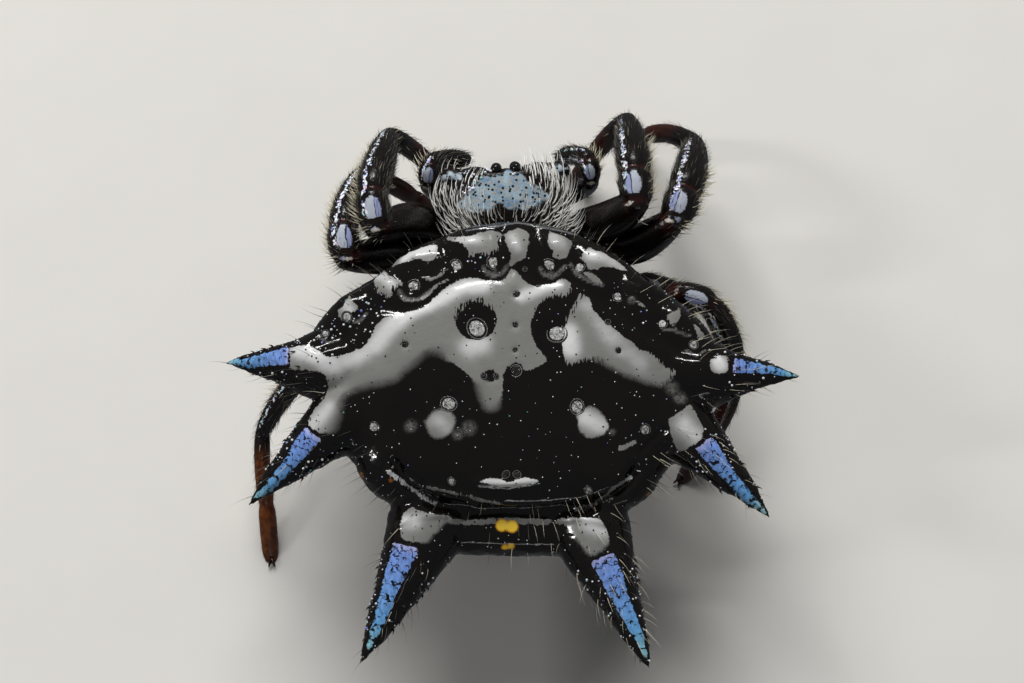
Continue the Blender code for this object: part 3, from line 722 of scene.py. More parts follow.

# %% [markdown]
# ## Markings of the back
#
# The pale band and patches, the blue strips on the thorns and the yellow spots are kept on the
# skin as distances: each point knows how far inside or outside a mark it lies. The material then
# draws the edge where that distance passes zero, with a little noise added, which gives the fine
# saw-toothed border of the real marks and stays sharp however near the eye comes.

# %% Places of the marks in the picture
# Pale areas: partly pale marks under the cuticle, partly a painted reflection of a soft light
PALE_AREAS = [
    # the left half of the band, out to the first thorn and down to the second
    [(290, 348), (303, 345), (316, 349), (325, 356), (335, 357), (348, 353), (362, 347), (370, 338),
     (378, 323), (388, 316), (410, 312), (424, 307), (435, 297), (450, 285), (464, 278), (480, 279),
     (493, 284), (501, 281), (507, 275), (511, 268), (520, 275), (526, 282), (537, 287), (548, 285),
     (562, 279), (571, 284), (567, 294), (555, 296), (546, 299), (538, 306), (533, 316), (531, 330),
     (537, 347), (547, 360), (541, 365), (528, 370), (519, 366), (507, 367), (503, 380), (502, 395),
     (496, 408), (486, 408), (480, 396), (478, 388), (470, 376), (456, 365), (445, 358), (438, 351),
     (425, 352), (417, 360), (406, 369), (392, 380), (365, 386), (348, 392), (340, 402), (338, 420),
     (333, 431), (322, 433), (308, 424), (316, 408), (326, 396), (328, 384), (324, 374), (308, 370),
     (290, 368)],
    # the right half of the band
    [(580, 294), (588, 296), (591, 302), (594, 311), (606, 322), (617, 331), (629, 340), (639, 349),
     (652, 354), (663, 366), (675, 372), (671, 378), (660, 385), (640, 380), (620, 372), (609, 366),
     (598, 359), (583, 360), (570, 364), (565, 360), (562, 344), (564, 330), (568, 319), (576, 305)],
    # lobes of the front edge, from left to right, where the pale is mostly a painted reflection on their
    # crowns
    [(302, 332), (306, 323), (314, 317), (325, 311), (321, 317), (313, 323), (306, 330)],
    [(338, 310), (343, 305), (347, 299), (349, 295), (353, 302), (359, 308), (352, 312), (348, 317),
     (343, 321), (339, 319)],
    [(376, 271), (383, 271), (390, 276), (404, 283), (397, 285), (392, 291), (391, 297), (385, 295),
     (380, 293), (376, 289), (374, 281)],
    [(384, 268), (394, 261), (408, 253), (422, 247), (433, 244), (438, 247), (436, 255), (432, 260),
     (425, 261), (418, 258), (408, 261), (397, 264), (388, 268)],
    [(447, 236), (459, 236), (470, 235), (481, 232), (492, 230), (501, 233), (499, 238), (497, 242),
     (497, 249), (491, 252), (485, 254), (478, 253), (470, 255), (467, 253), (468, 249), (464, 245),
     (459, 242), (453, 241), (447, 239)],
    [(504, 235), (508, 231), (513, 229), (520, 228), (527, 231), (529, 237), (528, 247), (525, 256),
     (520, 261), (513, 264), (510, 267), (511, 256), (509, 250), (506, 243)],
    [(550, 231), (562, 235), (572, 241), (570, 249), (567, 256), (560, 259), (553, 256), (553, 250),
     (548, 243)],
    [(580, 257), (589, 247), (595, 250), (604, 252), (612, 258), (620, 263), (628, 270), (619, 269),
     (610, 267), (604, 267), (598, 269), (592, 270), (588, 268), (586, 263)],
    [(584, 272), (590, 273), (597, 276), (603, 284), (594, 281), (588, 277)],
    [(667, 316), (679, 308), (681, 311), (678, 322), (670, 322)],
    [(693, 323), (698, 326), (705, 336), (699, 340), (696, 331)],
    # small patches of the disc
    [(426, 421), (432, 413), (440, 409), (452, 413), (455, 421), (450, 433), (440, 438), (430, 434)],
    [(577, 414), (588, 406), (598, 410), (609, 425), (602, 434), (590, 438), (579, 429)],
    # a painted reflection beside the second thorns, and on the right first thorn
    [(668, 419), (681, 411), (690, 405), (698, 418), (704, 433), (694, 444), (680, 451), (672, 440)],
    [(711, 359), (727, 356), (728, 366), (727, 371), (717, 374), (711, 369)],
    # a painted highlight: the bright lens behind the disc
    [(479, 481), (488, 478), (500, 478), (507, 481), (514, 481), (522, 477), (530, 478), (538, 481),
     (528, 484), (520, 486), (511, 487), (500, 486), (490, 484)],
    # a painted reflection on the corners of the rear shelf
    [(400, 530), (403, 516), (412, 506), (424, 512), (450, 516), (444, 524), (434, 534), (428, 541),
     (416, 541), (404, 539)],
    [(560, 521), (587, 517), (601, 520), (609, 537), (605, 546), (590, 554), (578, 540), (570, 528)],
]
# Painted highlights along the crests of folds, the shelf's top edge and the front lobes, each with its half
# width
PAINTED_HIGHLIGHT_LINES = [
    ([(444, 519), (457, 521), (470, 522), (512, 520), (545, 522), (560, 521), (575, 520)], 0.07),
    ([(389, 472), (405, 483), (425, 498), (435, 503)], 0.05),
    ([(393, 466), (418, 483), (440, 498)], 0.02),
    ([(428, 487), (455, 493), (485, 501), (500, 503)], 0.04),
    ([(602, 497), (614, 487), (630, 477)], 0.055),
    ([(575, 510), (590, 505), (613, 498)], 0.025),
    (LOBE_FOLD, 0.028),
    ([(415, 281), (431, 279), (440, 275), (447, 269)], 0.036),
    ([(441, 235), (444, 240), (451, 252)], 0.016),
    ([(625, 293), (634, 299), (645, 307)], 0.022),
    ([(667, 321), (673, 325), (679, 331)], 0.02),
    ([(620, 448), (634, 442)], 0.06),
]
DARK_SPOTS = [
    (476, 321, 0.52), (405, 345, 0.08), (619, 351, 0.08), (516, 294, 0.1), (515, 325, 0.05),
    (515, 350, 0.04), (490, 376, 0.16), (516, 371, 0.21),
]
# Painted light on the pale marks: brighter on the slopes that face the front light and on the fold
# highlights; each line with its reach and amount
PAINTED_LIGHT_LINES = [
    ([(300, 350), (316, 356), (334, 366)], 0.3, 1.0), ([(334, 366), (352, 360), (375, 345)], 0.24, 0.8),
    ([(375, 345), (390, 328), (405, 315), (435, 301), (465, 286), (482, 286)], 0.26, 1.0),
    ([(482, 344), (470, 348)], 0.3, 0.75),
    ([(522, 296), (556, 284)], 0.18, 0.9),
    ([(568, 332), (570, 348)], 0.28, 1.0),
    ([(588, 306), (610, 336), (640, 362)], 0.28, 0.45),
    ([(314, 424), (330, 408)], 0.26, 0.65),
    ([(404, 258), (432, 247)], 0.16, 1.0),
    ([(460, 239), (476, 238)], 0.2, 0.65), ([(512, 236), (518, 248)], 0.18, 0.5),
    ([(554, 236), (562, 244)], 0.2, 0.45), ([(592, 254), (618, 265)], 0.2, 0.8),
    ([(380, 276), (392, 286)], 0.2, 0.7), ([(345, 304), (350, 312)], 0.16, 0.7),
    ([(438, 420), (448, 428)], 0.26, 0.45), ([(586, 418), (600, 426)], 0.28, 0.8),
    ([(684, 426), (694, 436)], 0.28, 0.75), ([(719, 362), (720, 366)], 0.2, 0.9),
    ([(402, 520), (414, 522)], 0.22, 0.75), ([(586, 520), (602, 530)], 0.24, 0.8),
    ([(389, 472), (405, 483), (435, 503)], 0.1, 1.0), ([(482, 481), (536, 480)], 0.12, 1.0),
    ([(602, 497), (630, 477)], 0.1, 1.0), ([(450, 518), (570, 520)], 0.06, 0.6),
]
# Painted grey sheen: dull crescents of reflection below the muscle marks, each with its half width
PAINTED_SHEEN_ARCS = [
    ([(483, 267), (487, 273), (494, 276), (502, 273), (507, 266)], 0.055),
    ([(540, 268), (545, 275), (553, 277), (560, 272), (565, 266)], 0.055),
    ([(399, 291), (403, 297), (411, 300), (421, 298), (430, 291)], 0.06),
    ([(571, 264), (577, 274), (588, 280), (602, 285)], 0.05),
    ([(345, 314), (352, 322), (360, 321), (366, 314)], 0.045),
    ([(318, 336), (328, 343), (338, 340)], 0.04),
    ([(664, 329), (676, 331), (690, 336)], 0.035),
    ([(686, 350), (696, 356), (706, 350)], 0.03),
]
# Edges where the pale fades out slowly and is painted darker towards them, each with how soft it is
SOFT_EDGES = [
    ([(338, 424), (346, 398), (368, 388), (392, 382), (417, 362), (438, 353)], 0.22),
    ([(496, 410), (486, 408), (479, 390)], 0.18),
    ([(600, 362), (620, 374), (640, 382), (662, 386)], 0.14),
    ([(426, 421), (440, 409), (455, 421), (440, 438), (426, 425)], 0.07),
    ([(577, 414), (598, 410), (602, 434), (579, 429)], 0.05),
    ([(603, 548), (590, 555), (578, 542)], 0.07),
    ([(430, 541), (444, 527)], 0.06),
]
HAIRY_EDGES = [
    ([(456, 312), (464, 303), (478, 299), (494, 305)], 0.4),
    ([(538, 306), (552, 297), (568, 293)], 0.22),
    ([(580, 296), (572, 312), (563, 330)], 0.26),
    ([(570, 364), (583, 360), (598, 360)], 0.24),
    ([(484, 254), (470, 256), (496, 250)], 0.24),
    ([(656, 356), (672, 372), (668, 382)], 0.2),
    ([(376, 290), (391, 297), (397, 285)], 0.24),
    ([(395, 478), (432, 502), (460, 494), (498, 503)], 0.1),
    ([(577, 508), (604, 496), (628, 480)], 0.1),
]
# Spots of the same painted grey sheen beside the muscle marks and patches, each with its radius
PAINTED_SHEEN_SPOTS = [
    (469, 428, 0.26), (411, 426, 0.22), (458, 434, 0.2), (672, 388, 0.24), (680, 398, 0.24),
    (334, 376, 0.1), (492, 272, 0.16), (551, 275, 0.14), (632, 300, 0.14), (612, 432, 0.12),
]
YELLOW_SPOTS = [(502, 525, 0.17), (512, 526, 0.17), (505, 547, 0.1), (511, 546, 0.1)]
ORANGE_SPOTS = [(391, 480, 0.06), (648, 494, 0.08), (362, 475, 0.1)]
BELLY_SPOTS = [
    (1.6, 1.9, 0.3), (-1.6, 1.9, 0.3), (2.5, 0.2, 0.26), (-2.5, 0.2, 0.26), (1.5, -1.9, 0.22),
    (-1.5, -1.9, 0.22), (3.4, 1.4, 0.2), (-3.4, 1.4, 0.2), (0.0, 3.0, 0.24),
]
BLUE_STRIPS = [
    ([(288, 355), (250, 362), (224, 367)], 0.24),
    ([(734, 365), (768, 369), (797, 376)], 0.2),
    ([(313, 433), (290, 463), (268, 489), (253, 504)], 0.26),
    ([(704, 442), (722, 467), (742, 491), (764, 512)], 0.26),
    ([(407, 545), (395, 574), (388, 595), (381, 617), (374, 634), (369, 648)], 0.32),
    ([(602, 556), (611, 574), (619, 595), (630, 618), (638, 634), (645, 654)], 0.32),
]
# How the strips narrow: shares of their length, and of their width there
BLUE_TAPER = ((0.0, 0.25, 0.47, 0.67, 0.82, 0.96, 1.0), (1.0, 0.84, 0.6, 0.5, 0.38, 0.2, 0.1))

# %% Marks measured on the skin
CRISP_EDGE = 0.01
SOFT_REACH = 0.3
HAIRY_REACH = 0.16
BLUE_GAP = 0.045


def mark_back(obj, surface):
    """Distances of every point of the skin from the marks, in millimetres."""
    points = points_of(obj.data)
    normals = normals_of(obj)
    upper = smoothstep(0.05, 0.3, normals @ np.array(TO_CAMERA))

    def away_from(places):
        return line_distance(points, surface.seen_line(places), (0, 1, 2))

    def inside_spots(spots):
        inside = np.full(len(points), -1.0)
        for u, v, radius in spots:
            inside = np.maximum(inside, radius - surface.away(points, u, v))
        return inside

    pale = np.full(len(points), -1.0)
    for places in PALE_AREAS:
        outline = smooth_points([*places, places[0]], 3)[:-1]
        pale = np.maximum(pale, area_distance(points, surface.seen_line(outline)))
    for places, half_width in PAINTED_HIGHLIGHT_LINES:
        pale = np.maximum(pale, half_width - away_from(places))
    blue = np.full(len(points), -1.0)
    share = np.zeros(len(points))
    for places, wide in BLUE_STRIPS:
        line = surface.seen_line(places)
        span = line[-1] - line[0]
        along = ((points - line[0]) @ span) / (span @ span)
        inside = wide * np.interp(along, *BLUE_TAPER) - line_distance(points, line)
        inside = np.minimum(inside, along * np.linalg.norm(span))
        share = np.where(inside > blue, along, share)
        blue = np.maximum(blue, inside)
    pale = np.minimum(np.minimum(pale, -inside_spots(DARK_SPOTS)), -blue - BLUE_GAP)
    store(obj, "pale", np.where(upper > 0.5, pale, -1.0))
    for name, least, rows in (
        ("softness", CRISP_EDGE, [(places, SOFT_REACH, width) for places, width in SOFT_EDGES]),
        ("hairiness", 0.0, [(places, HAIRY_REACH, depth) for places, depth in HAIRY_EDGES]),
        ("bright", 0.0, PAINTED_LIGHT_LINES),
    ):
        strongest = np.full(len(points), least)
        for places, reach, amount in rows:
            strongest = np.maximum(strongest, amount * np.exp(-((away_from(places) / reach) ** 2)))
        store(obj, name, strongest)
    grey_sheen = surface.in_spots(points, PAINTED_SHEEN_SPOTS, 0.2)
    for places, half_width in PAINTED_SHEEN_ARCS:
        grey_sheen = np.maximum(grey_sheen, 1.3 * (1 - smoothstep(0.4, 1.2, away_from(places) / half_width)))
    store(obj, "grey_sheen", grey_sheen * (upper > 0.5))
    store(obj, "rim_line", 0.03 - away_from(RIM_LINE))
    store(obj, "yellow", inside_spots(YELLOW_SPOTS))
    orange = inside_spots(ORANGE_SPOTS)
    for x, y, radius in BELLY_SPOTS:
        away = np.hypot(points[:, 0] - x, (points[:, 1] - y) * 1.3)
        orange = np.maximum(orange, np.where(normals[:, 2] < -0.1, radius - away, -1.0))
    store(obj, "orange", orange)
    store(obj, "blue", np.where(upper > 0.5, blue, -1.0))
    store(obj, "along_thorn", np.clip(share, 0, 1))


mark_back(abdomen, back)
print("marks on the back:", len(PALE_AREAS) + len(PAINTED_HIGHLIGHT_LINES) + len(BLUE_STRIPS))

# %% [markdown]
# ## Bristles by Geometry Nodes
#
# Every bristle is the same slender curved cone at another size, so one tree makes them all. It
# scatters roots on a skin, as densely as the skin's own "hair" value says, stands a cone on each
# root along the skin's "lie", lets it bend towards the skin's "curl", and writes the map that a
# bake needs: a tiny patch at the place where the root sits on the unwrapped skin.

# %% The bristle tree
BRISTLE_SIDES = 3
BAKE_PATCH = 0.003
FLOOR_CLEARANCE = 0.004


def begun_tree(name, source, result, numbers):
    """A tree with its named inputs: a mesh, numbers (whole ones as integers) and the finish."""
    tree = bpy.data.node_groups.new(name, "GeometryNodeTree")

    def socket(label, kind, way="INPUT"):
        return tree.interface.new_socket(name=label, in_out=way, socket_type=f"NodeSocket{kind}")

    socket(source, "Geometry")
    for label, value in numbers.items():
        socket(label, "Int" if isinstance(value, int) else "Float").default_value = value
    socket("Finish", "Material")
    socket(result, "Geometry", "OUTPUT")
    return tree, add(tree, "NodeGroupInput").outputs


def ended_tree(tree, made, finish, result):
    made = put(tree, "GeometryNodeSetMaterial", {"Geometry": made, "Material": finish})
    add(tree, "NodeGroupOutput", {result: made})
    return tree


# Plain words for the Geometry Nodes used most
ALIGN = "FunctionNodeAlignRotationToVector"
KINDS.update({
    "skin value": ("GeometryNodeInputNamedAttribute", ("Name",), 0, {"data_type": "FLOAT"}),
    "skin vector": ("GeometryNodeInputNamedAttribute", ("Name",), 0, {"data_type": "FLOAT_VECTOR"}),
    "kept": ("GeometryNodeStoreNamedAttribute", ("Geometry", "Name", "Value"), 0, {}),
    "smooth": ("GeometryNodeSetShadeSmooth", ("Geometry",), 0, {}),
    "vector sum": ("ShaderNodeVectorMath", (0, 1), 0, {"operation": "ADD"}),
    "vector product": ("ShaderNodeVectorMath", (0, 1), 0, {"operation": "MULTIPLY"}),
    "random vector": ("FunctionNodeRandomValue", (0, 1, "Seed"), 0, {"data_type": "FLOAT_VECTOR"}),
    "random share": ("FunctionNodeRandomValue", (2, 3, "Seed"), 1, {"data_type": "FLOAT"}),
    "upright": (ALIGN, ("Vector",), 0, {"axis": "Z"}),
    "swung": (ALIGN, ("Rotation", "Vector"), 0, {"axis": "X", "pivot_axis": "Z"}),
})


def roots_on_skin(tree, given):
    """Points strewn evenly over the skin, as densely as its own hair value says."""
    inputs = {
        "Mesh": given["Skin"], "Distance Min": given["Spacing"], "Density Max": given["Per Square"],
        "Density Factor": put(tree, "skin value", "hair"), "Seed": given["Seed"],
    }
    return add(tree, "GeometryNodeDistributePointsOnFaces", inputs, distribute_method="POISSON").outputs


def stood(tree, points, shape, turn, size):
    """The shape on every point, as one plain mesh."""
    inputs = {"Points": points, "Instance": shape, "Rotation": turn, "Scale": size}
    copies = put(tree, "GeometryNodeInstanceOnPoints", inputs)
    return put(tree, "GeometryNodeRealizeInstances", {"Geometry": copies})


def bristle_tree():
    """Scatters curved tapering bristles over a skin that carries hair, lie, curl and reach."""
    tree, given = begun_tree("bristles", "Skin", "Bristles", {
        "Spacing": 0.1, "Per Square": 50.0, "Length": 0.4, "Width": 0.06, "Bend": 0.3, "Spread": 0.2,
        "Segments": 5, "Seed": 1,
    })
    roots = roots_on_skin(tree, given)
    cone = put(tree, "GeometryNodeMeshCone", {
        "Vertices": BRISTLE_SIDES, "Side Segments": given["Segments"], "Radius Top": 0.0,
        "Radius Bottom": given["Width"], "Depth": 1.0,
    })
    up = add(tree, "ShaderNodeSeparateXYZ", {0: put(tree, "GeometryNodeInputPosition")}).outputs["Z"]
    strand = put(tree, "kept", cone, "along", up)
    lean = put(tree, "times", put(tree, "times", up, up), given["Bend"])
    lean = put(tree, "ShaderNodeCombineXYZ", {"X": lean})
    strand = put(tree, "smooth", put(tree, "GeometryNodeSetPosition", {"Geometry": strand, "Offset": lean}))
    spread = given["Spread"]
    stray = put(tree, "random vector", put(tree, "times", spread, -1.0), spread, given["Seed"])
    turn = put(tree, "upright", put(tree, "vector sum", put(tree, "skin vector", "lie"), stray))
    turn = put(tree, "swung", turn, put(tree, "skin vector", "curl"))
    length = put(tree, "times", put(tree, "random share", 0.6, 1.1, given["Seed"]), given["Length"])
    length = put(tree, "times", length, put(tree, "skin value", "reach"))
    bristles = stood(tree, roots["Points"], strand, turn, length)
    along = put(tree, "skin value", "along")
    patch = put(tree, "ShaderNodeCombineXYZ", {"X": along, "Y": along})
    patch = put(tree, "vector product", patch, (BAKE_PATCH, BAKE_PATCH, 0.0))
    place = put(tree, "vector sum", put(tree, "skin vector", "unwrap"), patch)
    bristles = put(tree, "kept", bristles, "OFBake", place, data_type="FLOAT2", domain="CORNER")
    return ended_tree(tree, bristles, given["Finish"], "Bristles")


def grown(skin, tree, name, slot, finish, *sizes):
    """Settles what a tree makes on a skin; sizes are the tree's numbers in the order of its inputs."""
    modifier = skin.modifiers.new(name, "NODES")
    modifier.node_group = tree
    inputs = [item for item in tree.interface.items_tree if item.in_out == "INPUT"]
    for item, value in zip(inputs[1:], (*sizes, finish)):
        modifier[item.identifier] = value
    mesh = bpy.data.meshes.new_from_object(skin.evaluated_get(bpy.context.evaluated_depsgraph_get()))
    skin.modifiers.clear()
    for layer in [a.name for a in mesh.attributes if a.name in SKIN_LAYERS]:
        mesh.attributes.remove(mesh.attributes[layer])
    points = points_of(mesh)
    points[:, 2] = np.maximum(points[:, 2], FLOOR_CLEARANCE)
    move_points(mesh, points)
    return settle(shown(name, mesh), slot)


SKIN_LAYERS = (
    "hair", "lie", "curl", "reach", "unwrap", "pale", "bright", "softness", "hairiness", "grey_sheen",
    "rim_line", "yellow", "orange", "blue", "along_thorn", "patch", "bead", "inner", "part",
    "membrane", "sparkle", "bead_row", "UVMap",
)


def unwrap(obj):
    """Unwraps a skin by its own shape, for the places of its bristles' roots in a bake."""
    bpy.context.view_layer.objects.active = obj
    obj.select_set(True)
    bpy.ops.object.mode_set(mode="EDIT")
    bpy.ops.mesh.select_all(action="SELECT")
    bpy.ops.uv.smart_project(angle_limit=math.radians(66), island_margin=0.002)
    bpy.ops.object.mode_set(mode="OBJECT")
    obj.select_set(False)
    obj.data.uv_layers[0].name = "unwrap"


def strewn(obj, tree, name, slot, finish, sizes, hair, lie, curl, reach=1.0):
    """Grows a tree's shapes where a skin has hair, lying and curling by its own vectors."""
    count = len(obj.data.vertices)
    for layer in ("hair", "lie", "curl", "reach"):
        if layer in obj.data.attributes:
            obj.data.attributes.remove(obj.data.attributes[layer])
    store(obj, "hair", hair)
    store(obj, "lie", lie, "FLOAT_VECTOR")
    store(obj, "curl", curl, "FLOAT_VECTOR")
    store(obj, "reach", np.broadcast_to(reach, count))
    return grown(obj, tree, name, slot, finish, *sizes)


def bristle_material(name, root, tip, roughness):
    """Hair-like chitin: a tint that runs from root to tip, with a soft shine."""
    material, tree, shader = new_material(name, Roughness=roughness, IOR=1.4)
    along = put(tree, "mark", attribute_name="along")
    tint = put(tree, "noise", millimetres(tree), 1 / 0.3)
    colour = put(tree, "blend", along, root, tip)
    colour = put(tree, "blend", put(tree, "step", tint, 0.35, 0.7, 0.0, 0.35), colour, root)
    paint(tree, shader, colour)
    return material


# Sizes of bristles below: spacing, number on a square mm, length, width, bend, spread, segments, seed
BRISTLES = bristle_tree()
DARK_BRISTLE = bristle_material("dark_chitin_bristle", "#060505", "#1C1713", 0.5)
GREY_BRISTLE = bristle_material("grey_chitin_bristle", "#2E2C28", "#A8A498", 0.4)
PALE_BRISTLE = bristle_material("pale_chitin_bristle", "#D2C8A8", "#FBF6E4", 0.45)
CREAM_BRISTLE = bristle_material("cream_chitin_bristle", "#FBF8F0", "#FFFFFF", 0.45)
print("bristle finishes:", [m.name for m in bpy.data.materials if "bristle" in m.name])

# %% [markdown]
# ## Painted cuticle
#
# The shell is sclerotised cuticle, a natural plastic: hard, smooth and very glossy, with an
# index of refraction near 1.56. Black comes from the pigment in it, the pale marks partly from guanine
# crystals in the tissue below and partly from a painted reflection of a soft light, so both lie under
# the same clear surface. That is why the marks change the colour here and hardly touch the gloss. The
# pale also carries painted light and shade: brighter along painted light lines and fold highlights,
# darker near its soft edges, and a mottled grey sheen painted by the muscle marks.

# %% Shell material
BLACK = "#0A0807"
# The pale's two tones are a shaded and a lit copy of one colour, blended by painted light
PALE_MARK_IN_SHADE = "#7C7C78"
PALE_MARK_LIT = "#CBCBCA"


def shell_material():
    """Glossy black cuticle with pale, blue and yellow marks under its surface; the pale is partly a painted
    reflection and carries painted light, shade and a grey sheen.
    """
    shine = {"IOR": 1.56, "Coat_Weight": 0.3, "Coat_Roughness": 0.04}
    material, tree, shader = new_material("sclerotised_cuticle", **shine)
    place = millimetres(tree)
    hairs = put(tree, "minus", streaks_of(tree, place, (30.0, 4.5, 4.5), 2.0), 0.5)
    hairs = put(tree, "times", hairs, put(tree, "mark", attribute_name="hairiness"))
    saw = waver(tree, place, 0.05, 0.06, 3.0, 0.65)
    waves = waver(tree, place, 0.2, 0.13, 3.0, 0.6)
    ragged = put(tree, "plus", put(tree, "plus", saw, waves), put(tree, "times", hairs, 2.0))
    clouds = put(tree, "noise", place, 1 / 1.2)
    black = put(tree, "blend", clouds, BLACK, "#120E0B")
    softness = put(tree, "mark", attribute_name="softness")
    pale_distance = put(tree, "mark", attribute_name="pale")
    edge = put(tree, "over", put(tree, "plus", pale_distance, ragged), softness)
    edge = put(tree, "step", edge, -1.0, 1.0)
    # Painted light: the pale brightens along its painted light lines, from its shaded tone to its lit tone
    painted_light = put(tree, "plus", put(tree, "mark", attribute_name="bright"), waver(tree, place, 0.6, 0.5, 3.0))
    pale = put(tree, "blend", put(tree, "step", painted_light, 0.0, 1.0), PALE_MARK_IN_SHADE, PALE_MARK_LIT)
    # Painted shade: the pale darkens towards its soft edges
    shade = put(tree, "step", pale_distance, 0.0, 0.5, 0.55, 0.0)
    shade = put(tree, "times", put(tree, "step", softness, 0.02, 0.16), shade)
    pale = put(tree, "blend", shade, pale, "#6E6D6B")
    colour = put(tree, "blend", edge, black, pale)
    # Painted grey sheen, mottled, on the arcs and spots by the muscle marks
    mottle = put(tree, "step", put(tree, "noise", place, 1 / 0.07, 3.0, 0.6), 0.3, 0.62, 0.15, 0.75)
    grey_sheen = put(tree, "times", put(tree, "mark", attribute_name="grey_sheen"), mottle)
    colour = put(tree, "blend", put(tree, "times", grey_sheen, 0.8), colour, "#7E7D7B")
    rim = edge_of(tree, "rim_line", saw, -0.012, 0.012, 0.0, 0.7)
    colour = put(tree, "blend", rim, colour, "#77787A")
    yellow = put(tree, "step", put(tree, "mark", attribute_name="yellow"), 0.0, 0.06)
    yellow = put(tree, "blend", yellow, "#D08A14", "#FFD645")
    colour = put(tree, "blend", edge_of(tree, "yellow", saw, -0.02, 0.03), colour, yellow)
    colour = put(tree, "blend", edge_of(tree, "orange", saw, -0.02, 0.05), colour, "#94591A")
    along = put(tree, "mark", attribute_name="along_thorn")
    blue = hues(
        tree, along,
        (0.0, "#A9AEDC"), (0.07, "#728FD2"), (0.3, "#6A8FCE"), (0.75, "#609ACC"), (1.0, "#8CC2CA"),
    )
    satin = put(tree, "step", streaks_of(tree, place, (16.0, 7.0, 7.0), 3.0), 0.3, 0.7, 0.72, 1.12)
    blue = add(
        tree, "ShaderNodeMix", {0: 1.0, 6: blue, 7: satin}, data_type="RGBA", blend_type="MULTIPLY"
    ).outputs[2]
    bends = waver(tree, place, 0.25, 1.8)
    steps = put(tree, "plus", put(tree, "times", along, 7.0), bends)
    to_step = put(tree, "unsigned", put(tree, "minus", put(tree, "fraction", steps), 0.5))
    cuts = put(tree, "step", put(tree, "noise", place, 1 / 0.12, 1.0), 0.5, 0.58, 0.0, 0.07)
    cuts = put(tree, "times", cuts, put(tree, "step", along, 0.3, 0.9, 0.9, 3.2))
    cuts = put(tree, "minus", to_step, cuts)
    blue = put(tree, "blend", put(tree, "step", cuts, 0.0, 0.05, 0.0, 1.0), "#0A0B12", blue)
    wander = put(tree, "plus", waver(tree, place, 0.13, 0.13), saw)
    blue_edge = edge_of(tree, "blue", wander, -0.012, 0.012)
    colour = put(tree, "blend", blue_edge, colour, blue)
    paint(tree, shader, colour)
    matt = put(tree, "larger", blue_edge, put(tree, "times", edge, 0.6))
    tree.links.new(put(tree, "step", matt, 0.0, 1.0, 0.1, 0.34), shader.inputs["Roughness"])
    bumped(tree, shader, put(tree, "noise", place, 1 / 0.16, 2.0), 0.01)
    return material


abdomen.data.materials.append(shell_material())
unwrap(abdomen)
print("shell material on", abdomen.name)

# %% [markdown]
# ## The head
#
# The head and thorax lie under one shield, the carapace. Its front is broad and nearly square,
# with a blue-grey patch that looks frosted and is dotted with the sockets of its fur. The shield
# follows the same profiles as the solid, only finer, and sinks a little round each eye.

# %% Carapace
PROSOMA_TURN = math.radians(6)
PROSOMA_PIVOT_Y = 3.8
CARAPACE_CENTRE_Y = 4.95
CARAPACE_LENGTH = 3.4
CARAPACE_HALF_WIDTH = 1.6
CARAPACE_BOTTOM = 2.75
CARAPACE_MIDDLE_SHARE = 0.3
CARAPACE_TOP_PROFILE = [
    (-1.0, 2.95), (-0.8, 3.28), (-0.5, 3.58), (-0.15, 3.88), (0.2, 4.14), (0.6, 4.26),
    (0.85, 4.22), (1.0, 4.05),
]
CARAPACE_WIDTH_PROFILE = [
    (-1.0, 0.5), (-0.7, 0.86), (-0.3, 1.0), (0.1, 0.98), (0.5, 0.97), (0.85, 0.99), (1.0, 1.0),
]
CARAPACE_REAR_POWER = 3.0
CARAPACE_FRONT_POWER = 9.0
EYE_SEAT = 0.06
FRONT_SETBACK = 0.15
FRONT_SETBACK_HALF_WIDTH = 0.62
FRONT_SETBACK_FROM = 6.1
HEAD_FRONT = 6.55
# Lobes of the shield: where its middle is in the picture and how high, and its half sizes
HEAD_LOBES = [
    (452, 175, 3.72, (0.34, 0.24, 0.3)), (558, 168, 3.72, (0.36, 0.24, 0.3)),
    (444, 200, 3.35, (0.3, 0.55, 0.42)),
]
EYE_NAMES = [
    f"eye_{place}_{side}"
    for place in ("median_rear", "median_front", "lateral_rear", "lateral_front")
    for side in ("left", "right")
]
PROSOMA_MATRIX = (
    Matrix.Translation((0.0, PROSOMA_PIVOT_Y, 0.0))
    @ Matrix.Rotation(PROSOMA_TURN, 4, "Z")
    @ Matrix.Translation((0.0, -PROSOMA_PIVOT_Y, 0.0))
)
# The blue patch, then the pale plate at each front corner
BLUE_HEAD_AREAS = [
    [(456, 206), (459, 200), (465, 195), (471, 187), (479, 182), (477, 179), (485, 174), (492, 174),
     (497, 167), (502, 166), (509, 167), (513, 171), (521, 172), (526, 177), (532, 182), (538, 185),
     (548, 191), (550, 196), (544, 200), (538, 204), (525, 208), (518, 206), (509, 208), (499, 202),
     (492, 208), (481, 209), (471, 210), (464, 209)],
    [(440, 174), (442, 167), (446, 170), (461, 171), (460, 178), (453, 177), (442, 178)],
    [(548, 165), (557, 164), (563, 162), (569, 160), (569, 166), (560, 169), (549, 171)],
]
# Beads beside the eyes, which carry painted glints
HEAD_GLINTS = [
    (464, 190), (463, 183), (466, 176), (470, 187), (474, 180), (479, 176), (484, 171), (488, 168),
    (467, 170), (473, 173), (461, 178), (515, 166),
]
HEAD_GLINT_REACH = 0.11
GLINT_CORE = 0.3
HEAD_VOXEL = 0.05


def table_smooth(table):
    """Profile values read from a smooth curve through a table's rows."""
    rows = smooth_points(table, 8)
    return lambda at: float(np.interp(at, rows[:, 0], rows[:, 1]))


def turned(rows):
    """Rows of x, y, z and radius, turned as the head is held."""
    return [(*(PROSOMA_MATRIX @ Vector(row[:3])), row[3]) for row in rows]


